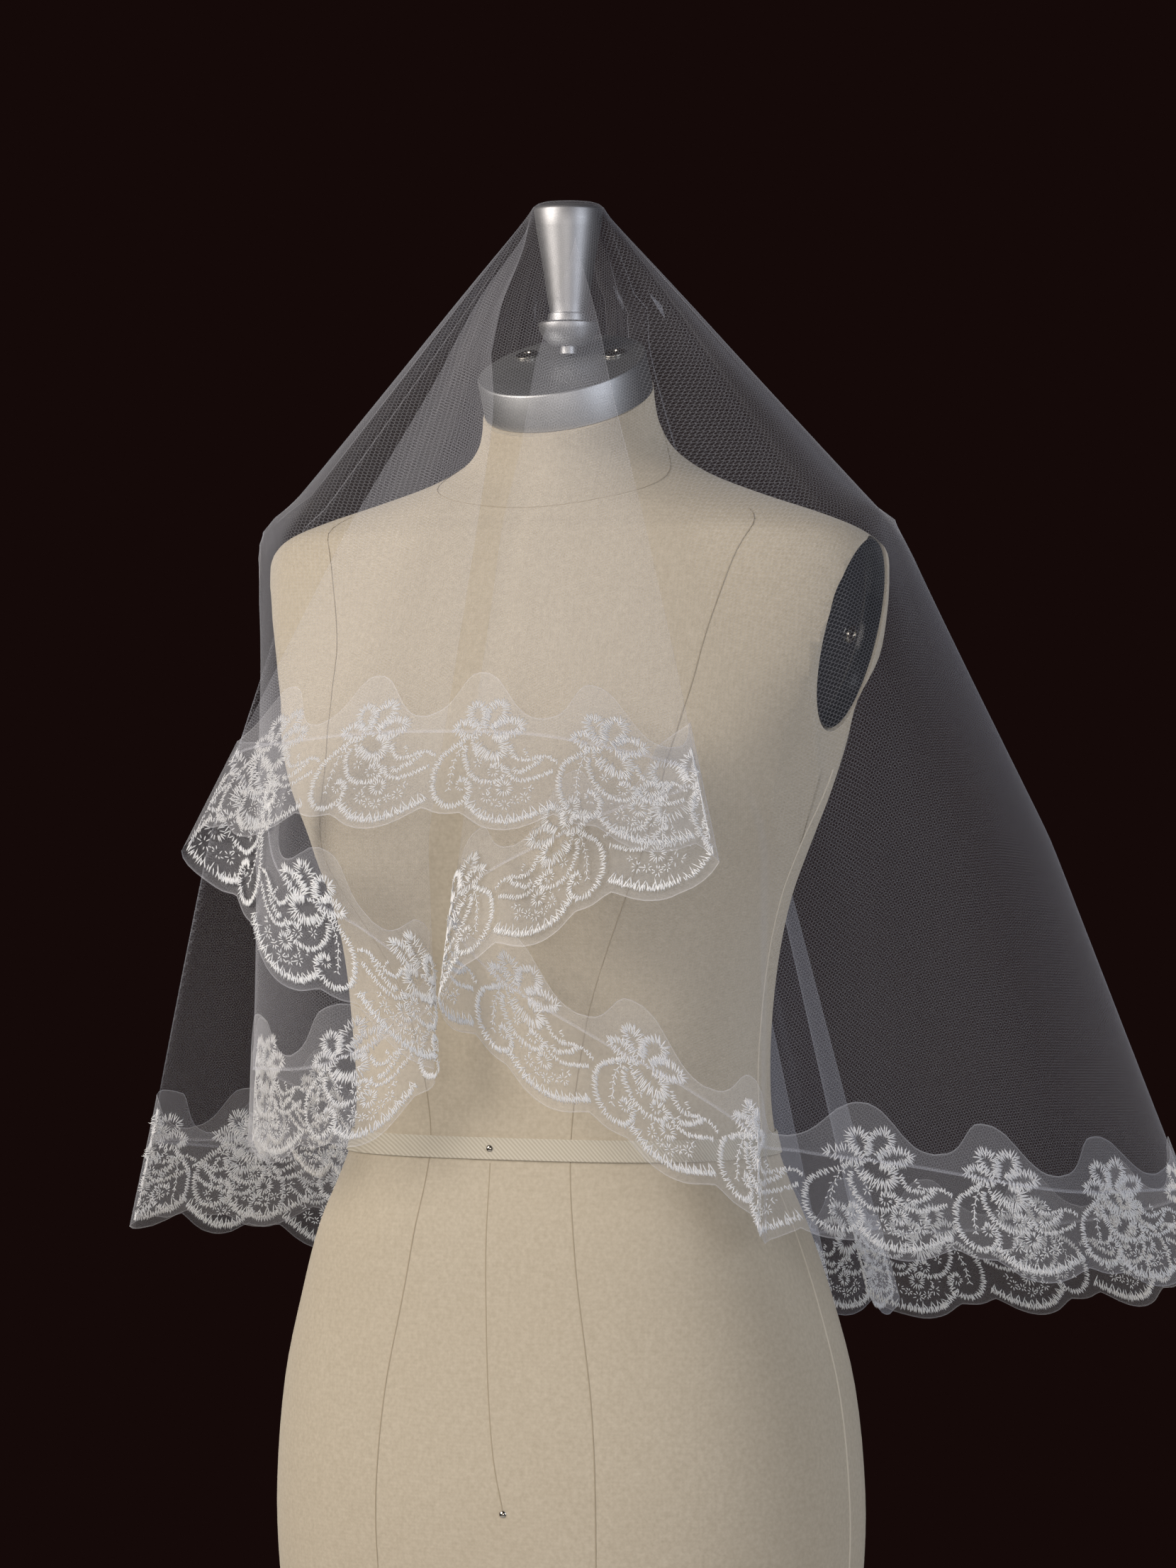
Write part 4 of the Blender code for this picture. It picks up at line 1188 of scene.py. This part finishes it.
def build_embroidery():
    """Satin stitches of every repeat, as a few pieces that follow the hem."""
    middles, ways, lengths = motif_stitches()
    wobble = np.random.default_rng(THREAD_SEED)
    tree = stitch_tree()
    made = []
    per_piece = math.ceil(REPEATS / STITCH_PIECES)
    for start in range(0, REPEATS, per_piece):
        repeats = np.arange(start, min(start + per_piece, REPEATS))
        count = len(middles)
        middle = np.tile(middles, (len(repeats), 1))
        middle = middle + wobble.normal(0, PLACE_SPREAD, middle.shape)
        places = np.repeat(repeats, count) + middle[:, 0] / CHART_WIDTH
        rises = middle[:, 1] * MM
        way = np.tile(ways, (len(repeats), 1))
        way = way + wobble.normal(0, TURN_SPREAD, way.shape)
        uneven = wobble.uniform(1 - LENGTH_SPREAD, 1 + LENGTH_SPREAD, len(rises))
        length = np.tile(lengths, len(repeats)) * uneven * MM
        point, along, up, normal = sewn_on(places, rises)
        direction = along * way[:, :1] + up * way[:, 1:]
        guide = mesh_object("stitch_places", point.tolist(), [])
        for name, values in (("along", direction), ("normal", normal), ("length", length)):
            point_values(guide.data, name, values)
        sewing = guide.modifiers.new("sewing", "NODES")
        sewing.node_group = tree
        sewing[socket_of(tree, "Thread width")] = STITCH_WIDTH
        sewing[socket_of(tree, "Thread height")] = STITCH_HEIGHT
        sewing[socket_of(tree, "Material")] = THREAD
        piece = evaluated(guide, f"embroidery_{len(made) + 1}")
        made.append(finished(piece, THREAD, "embroidered_organza"))
    return made


# The dress form.
def form_point(azimuth, height, proud=0.0):
    """Points on the bodice, or outside it by the given length."""
    lean = np.radians(form_row(height)[:, -1])
    flat = compass(azimuth) * (form_reach(azimuth, height) * MM + proud)[:, None]
    rise = flat[:, 1] * np.tan(lean)
    return np.column_stack([flat, WAIST_Z + height * MM + rise])


def arm_place(side):
    """Middle of an arm plate's plane, with its own X pointing out of the form."""
    lean = Matrix.Rotation(ARM_LEAN, 4, "Y")
    if side < 0:
        lean = Matrix.Rotation(math.pi, 4, "Z") @ lean
    return Matrix.Translation((side * ARM_MIDDLE_X, ARM_MIDDLE_Y, ARM_MIDDLE_Z)) @ lean


def cutter(name, mesh_maker, place):
    """Object that cuts the bodice and is removed afterwards."""
    mesh = bpy.data.meshes.new(name)
    shape = bmesh.new()
    mesh_maker(shape)
    shape.to_mesh(mesh)
    shape.free()
    made = add_object(name, mesh)
    made.matrix_world = place
    return made


def build_bodice():
    """Linen-covered bodice, with its sides cut flat and recessed for the arm plates."""
    heights = []
    sections = FORM_SECTIONS[:, 0]
    for low, high in zip(sections, sections[1:]):
        heights += list(np.linspace(low, high, FORM_ROWS_PER_SECTION, endpoint=False))
    heights.append(sections[-1])
    points = []
    for height in heights:
        points += form_point(ROUND_THE_FORM, np.full(FORM_SEGMENTS, height)).tolist()
    faces = grid_faces(len(heights), FORM_SEGMENTS)
    top = (len(heights) - 1) * FORM_SEGMENTS
    faces.append(tuple(reversed(range(FORM_SEGMENTS))))
    faces.append(tuple(range(top, top + FORM_SEGMENTS)))
    made = mesh_object("bodice", points, faces)

    def block(shape):
        bmesh.ops.create_cube(shape, size=1)
        bmesh.ops.scale(shape, verts=shape.verts, vec=ARM_CUT_SIZE)

    def oval(shape):
        bmesh.ops.create_cone(
            shape, cap_ends=True, segments=ARM_OVAL_STEPS, radius1=1, radius2=1,
            depth=2 * ARM_RECESS,
        )
        quarter = Matrix.Rotation(math.pi / 2, 3, "Y")
        bmesh.ops.rotate(shape, verts=shape.verts, matrix=quarter)
        bmesh.ops.scale(shape, verts=shape.verts, vec=(1, ARM_HALF_DEPTH, ARM_HALF_HEIGHT))

    used = []
    for side in (-1, 1):
        place = arm_place(side)
        outward = place @ Matrix.Translation((ARM_CUT_SIZE[0] / 2, 0, 0))
        used.append(cutter("arm_flat", block, outward))
        used.append(cutter("arm_recess", oval, place))
    for tool in used:
        taken = made.modifiers.new(tool.name, "BOOLEAN")
        taken.operation = "DIFFERENCE"
        taken.solver = "EXACT"
        taken.object = tool
    bevel = made.modifiers.new("rolled_edge", "BEVEL")
    bevel.width = ROLLED_EDGE
    bevel.segments = 2
    bevel.angle_limit = SHARP_FOLD
    made = evaluated(made, "bodice_linen")
    for tool in used:
        bpy.data.objects.remove(tool, do_unlink=True)
    made.data.shade_smooth()
    made.data.set_sharp_from_angle(angle=SHARP_FOLD)
    return finished(made, LINEN, "beige_linen", "torso")


SEAMS = (
    # name, on both sides, width, how proud, samples, then (azimuth, height) along the line,
    # in millimetres
    ("front_princess", True, 0.9, 0.15, 160, (
        (77, 352), (69, 330), (63, 297), (57, 262), (48, 215), (41, 165), (35.5, 110), (30, 60),
        (26, 0), (27, -60), (31, -140), (32, -220), (32, -299),
    )),
    ("back_princess", True, 0.9, 0.15, 160, (
        (118, 340), (130, 300), (142, 240), (148, 165), (150, 80), (151, 0), (147, -90),
        (145, -200), (145, -299),
    )),
    ("side", True, 1.7, 0.45, 160, (
        (92, 206), (91, 160), (91, 100), (90, 50), (90, 0), (90, -60), (90, -140), (90, -220),
        (90, -299),
    )),
    ("centre_front_seam", False, 0.8, 0.15, 80, ((-3, -11), (-1, -80), (3, -160), (7, -200))),
    ("centre_back_seam", False, 0.9, 0.15, 160, ((180, 330), (180, 0), (180, -299))),
)
PIPING_ABOVE = 0.3
RIDGE_SHAPE = (
    # across and outward, as shares of the width and of how proud
    (-0.5, -0.2), (-0.32, 0.75), (0, 1), (0.32, 0.75), (0.5, -0.2),
)
NECK_LINE_HEIGHT = 380
NECK_LINE_TILT = 24
NECK_LINE_WIDTH = 0.7
NECK_LINE_PROUD = 0.12
NECK_LINE_SAMPLES = 240


def on_line(points, samples):
    """Azimuths and heights at even steps on a smooth line through the given ones."""
    line, _ = smooth_line(points, 1)
    at = np.linspace(0, len(line) - 1, samples)
    steps = np.arange(len(line))
    return np.interp(at, steps, line[:, 0]), np.interp(at, steps, line[:, 1])


def ridge(name, azimuth, height, width, proud, closed=False):
    """Low rounded strip that follows a line on the bodice."""
    middle = form_point(azimuth, height)
    normal = form_point(azimuth, height, 0.01) - middle
    normal /= np.linalg.norm(normal, axis=1, keepdims=True)
    along = np.roll(middle, -1, 0) - np.roll(middle, 1, 0) if closed else np.gradient(middle, axis=0)
    along /= np.linalg.norm(along, axis=1, keepdims=True)
    across = np.cross(normal, along)
    points = np.stack([
        middle + across * side * width * MM + normal * rise * proud * MM
        for side, rise in RIDGE_SHAPE
    ], axis=1)
    faces = grid_faces(len(points), len(RIDGE_SHAPE), closed, False)
    made = mesh_object(name, points.reshape(-1, 3).tolist(), faces, smooth=True)
    # Low strips take the darker seam colour, which is painted shade. Prouder strips are pale piping.
    finished(made, SEAM_PIPING if proud > PIPING_ABOVE else SEAM_PAINTED_SHADE, "beige_linen")


def build_seams():
    """Princess, side and centre seams and the stitched neck line."""
    for name, both, width, proud, samples, points in SEAMS:
        azimuth, height = on_line(points, samples)
        if both:
            ridge(f"{name}_right", azimuth, height, width, proud)
            ridge(f"{name}_left", -azimuth, height, width, proud)
        else:
            ridge(name, azimuth, height, width, proud)
    # The neck line also takes the darker seam colour, which is painted shade of its stitched groove.
    azimuth = np.linspace(0, 360, NECK_LINE_SAMPLES, endpoint=False)
    height = NECK_LINE_HEIGHT - NECK_LINE_TILT * np.cos(np.radians(azimuth))
    ridge("neck_line_stitching", azimuth, height, NECK_LINE_WIDTH, NECK_LINE_PROUD, True)


def build_tape():
    """Waist tape with rolled edges, and its pins."""
    top = (TAPE_TOP_Z - WAIST_Z) / MM
    foot = top - TAPE_WIDTH / MM
    inner = GAP * 2
    outer = inner + TAPE_THICKNESS
    eased = outer - TAPE_ROLL * MM / 2
    shape = (
        (foot, inner), (foot, eased), (foot + TAPE_ROLL, outer),
        (top - TAPE_ROLL, outer), (top, eased), (top, inner),
    )
    rings = [form_point(ROUND_THE_FORM, np.full(FORM_SEGMENTS, h), proud) for h, proud in shape]
    points = np.stack(rings, axis=1).reshape(-1, 3).tolist()
    faces = grid_faces(FORM_SEGMENTS, len(shape), rows_close=True, flipped=True)
    finished(mesh_object("waist_twill", points, faces), TWILL, "twill_tape", "waist_tape")
    for number, (azimuth, height, through_tape) in enumerate(PINS):
        proud = PIN_LIFT + through_tape * (outer + PIN_LIFT)
        spot = form_point(np.array([azimuth]), np.array([height]), proud)[0]
        way = Vector((*compass(azimuth), 0)).to_track_quat("Z", "Y").to_matrix().to_4x4()
        head = profile_at(PIN_PROFILE, 0.0)
        pin = turned(f"pin_{number + 1}", head, 20, Matrix.Translation(spot) @ way)
        finished(pin, STEEL, "brushed_aluminium")


def build_neck_plate():
    """Brushed plate that closes the neck, with its recessed screws."""
    tilt = Matrix.Rotation(PLATE_TILT, 4, "X")
    place = Matrix.Translation((0, PLATE_TOP_Y, PLATE_TOP_Z)) @ tilt
    soft = PLATE_BEVEL_SHARE * PLATE_BEVEL
    profile = [
        (0.0, 0.0),
        (PLATE_RADIUS - PLATE_BEVEL, 0.0),
        (PLATE_RADIUS - soft, -soft),
        (PLATE_RADIUS, -PLATE_BEVEL),
        (PLATE_RADIUS, -PLATE_THICKNESS),
        (0.0, -PLATE_THICKNESS),
    ]
    made = turned("neck_plate_brushed", profile, 128, place)
    finished(made, BRUSHED_ALUMINIUM, "brushed_aluminium", "neck_plate")
    socket = profile_at(PLATE_SCREW_PROFILE, 0.0)
    for number, (x, y) in enumerate(PLATE_SCREWS):
        spot = place @ Matrix.Translation((x * PLATE_RADIUS, y * PLATE_RADIUS, GAP))
        screw = turned(f"neck_plate_screw_{number + 1}", socket, 40, spot)
        finished(screw, STEEL, "brushed_aluminium")


def build_arm_plates():
    """Domed plate in the recess of each armhole, with a lip up to the linen, and its screw."""
    domed = [
        (share * ARM_DOME_SHARE, ARM_PLATE_EDGE + ARM_PLATE_DOME * (1 - share * share))
        for share in np.arange(ARM_DOME_RINGS + 1) / ARM_DOME_RINGS
    ]
    lip = ARM_RECESS - GAP - ARM_LIP_DROP
    domed += [(ARM_LIP_SHARE, lip), (1.0, lip - ARM_LIP_DROP), (1.0, 0.0), (0.0, 0.0)]
    head = profile_at(ARM_SCREW_PROFILE, ARM_PLATE_EDGE + ARM_PLATE_DOME + GAP)
    stand_up = Matrix.Rotation(math.pi / 2, 4, "Y")
    half_height = ARM_HALF_HEIGHT - ARM_PLATE_CLEARANCE
    half_depth = ARM_HALF_DEPTH - ARM_PLATE_CLEARANCE
    for side, word in ((-1, "right"), (1, "left")):
        spot = arm_place(side) @ Matrix.Translation((GAP - ARM_RECESS, 0, 0)) @ stand_up
        shaped = spot @ Matrix.Diagonal((half_height, half_depth, 1, 1))
        plate = turned(f"arm_plate_acrylic_{word}", domed, 96, shaped, sharp=60)
        finished(plate, ACRYLIC, "smoked_acrylic", f"arm_plate_{word}")
        screw = turned(f"arm_plate_screw_{word}", head, 40, spot)
        finished(screw, STEEL, "brushed_aluminium", f"arm_screw_{word}")


def build_finial():
    """Turned cup and bowl collar on a short stem."""
    cup = turned("finial_cup_turned", profile_at(CUP_PROFILE, CUP_TOP_Z, -1), 96)
    finished(cup, SATIN_ALUMINIUM, "brushed_aluminium", "finial_cup")
    collar_top = CUP_TOP_Z - CUP_PROFILE[-1][1] * MM - GAP
    lean_drop = STEM_RADIUS * math.tan(PLATE_TILT)
    stem_foot = PLATE_TOP_Z - PLATE_TOP_Y * math.tan(PLATE_TILT) + lean_drop + GAP
    profile = profile_at(COLLAR_PROFILE, collar_top, -1)
    profile += [(STEM_RADIUS, stem_foot), (0.0, stem_foot)]
    collar = turned("finial_collar_turned", profile, 96)
    finished(collar, SATIN_ALUMINIUM, "brushed_aluminium", "finial_collar")


def dress_stand():
    """Better materials on the pole and the base, which keep their solids' shapes."""
    for name, material in (("pole", SATIN_ALUMINIUM), ("base", IRON)):
        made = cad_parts[name]
        made.data.materials.clear()
        made.data.materials.append(material)


# Studio.
FLOOR_RADIUS = 1.5
FLOOR_THICKNESS = 0.02


def build_floor():
    """Plain pale floor."""
    made, tree, shader = new_material("pale_painted_floor")
    plug(tree, shader, {
        "Base Color": linear("#D9D8D5"),
        "Roughness": 0.7,
        "Normal": bumped(tree, noise(tree, on_piece(tree), 40.0), 0.05, 0.001),
    })
    rim = (FLOOR_RADIUS, -FLOOR_THICKNESS)
    disc = turned("floor", [(0.0, 0.0), (FLOOR_RADIUS, 0.0), rim, (0.0, -FLOOR_THICKNESS)], 128)
    disc.data.materials.append(made)


LIGHTS = (
    # name, azimuth, distance, height, width, height of the panel, power, colour, whether it
    # mirrors in the metal
    ("key_left", -38, 2.6, 2.2, 1.6, 1.8, 72, "#FFF6EC", True),
    ("fill_right", 68, 2.8, 1.7, 1.2, 1.8, 27, "#F2F6FF", True),
    ("front_low", 18, 3.4, 1.1, 1.6, 1.0, 22, "#FFF7F0", True),
    ("rim_left", -128, 2.2, 2.0, 0.5, 1.6, 16, "#F2F6FF", False),
    ("rim_right", 152, 2.2, 2.0, 0.5, 1.6, 16, "#F2F6FF", False),
)
LIGHT_AIM = Vector((0, 0, 1.22))
BACKGROUND = "#150A09"
BACKGROUND_LIGHT = 1.0


def build_lights():
    """Large soft panels round the form, and an almost black surround."""
    for name, azimuth, distance, height, width, tall, power, colour, mirrors in LIGHTS:
        lamp = bpy.data.lights.new(name, "AREA")
        lamp.shape = "RECTANGLE"
        lamp.size = width
        lamp.size_y = tall
        lamp.energy = power
        lamp.color = linear(colour)[:3]
        made = add_object(name, lamp)
        x, y = compass(azimuth) * distance
        made.location = (x, y, height)
        made.visible_glossy = mirrors
        made.rotation_euler = (LIGHT_AIM - made.location).to_track_quat("-Z", "Y").to_euler()
    world = bpy.data.worlds.new("dark_studio")
    bpy.context.scene.world = world
    world.use_nodes = True
    backdrop = world.node_tree.nodes["Background"]
    backdrop.inputs["Color"].default_value = linear(BACKGROUND)
    backdrop.inputs["Strength"].default_value = BACKGROUND_LIGHT


def build_camera():
    """Level camera at the photograph's angle."""
    turn = math.radians(CAMERA_AZIMUTH)
    right = Vector((math.cos(turn), math.sin(turn), 0))
    forward = Vector((-math.sin(turn), math.cos(turn), 0))
    lens = bpy.data.cameras.new("camera")
    lens.lens = CAMERA_LENS
    lens.sensor_width = CAMERA_SENSOR
    made = add_object("camera", lens)
    made.location = right * CAMERA_SIDEWAYS - forward * CAMERA_DISTANCE
    made.location.z = CAMERA_HEIGHT
    made.rotation_euler = forward.to_track_quat("-Z", "Y").to_euler()
    bpy.context.scene.camera = made


bpy.context.scene.view_settings.view_transform = "Standard"
build_camera()
build_lights()
build_floor()
net = build_tulle()
organza = build_organza()
embroidery = build_embroidery()
build_bodice()
build_seams()
build_tape()
build_neck_plate()
build_arm_plates()
build_finial()
dress_stand()
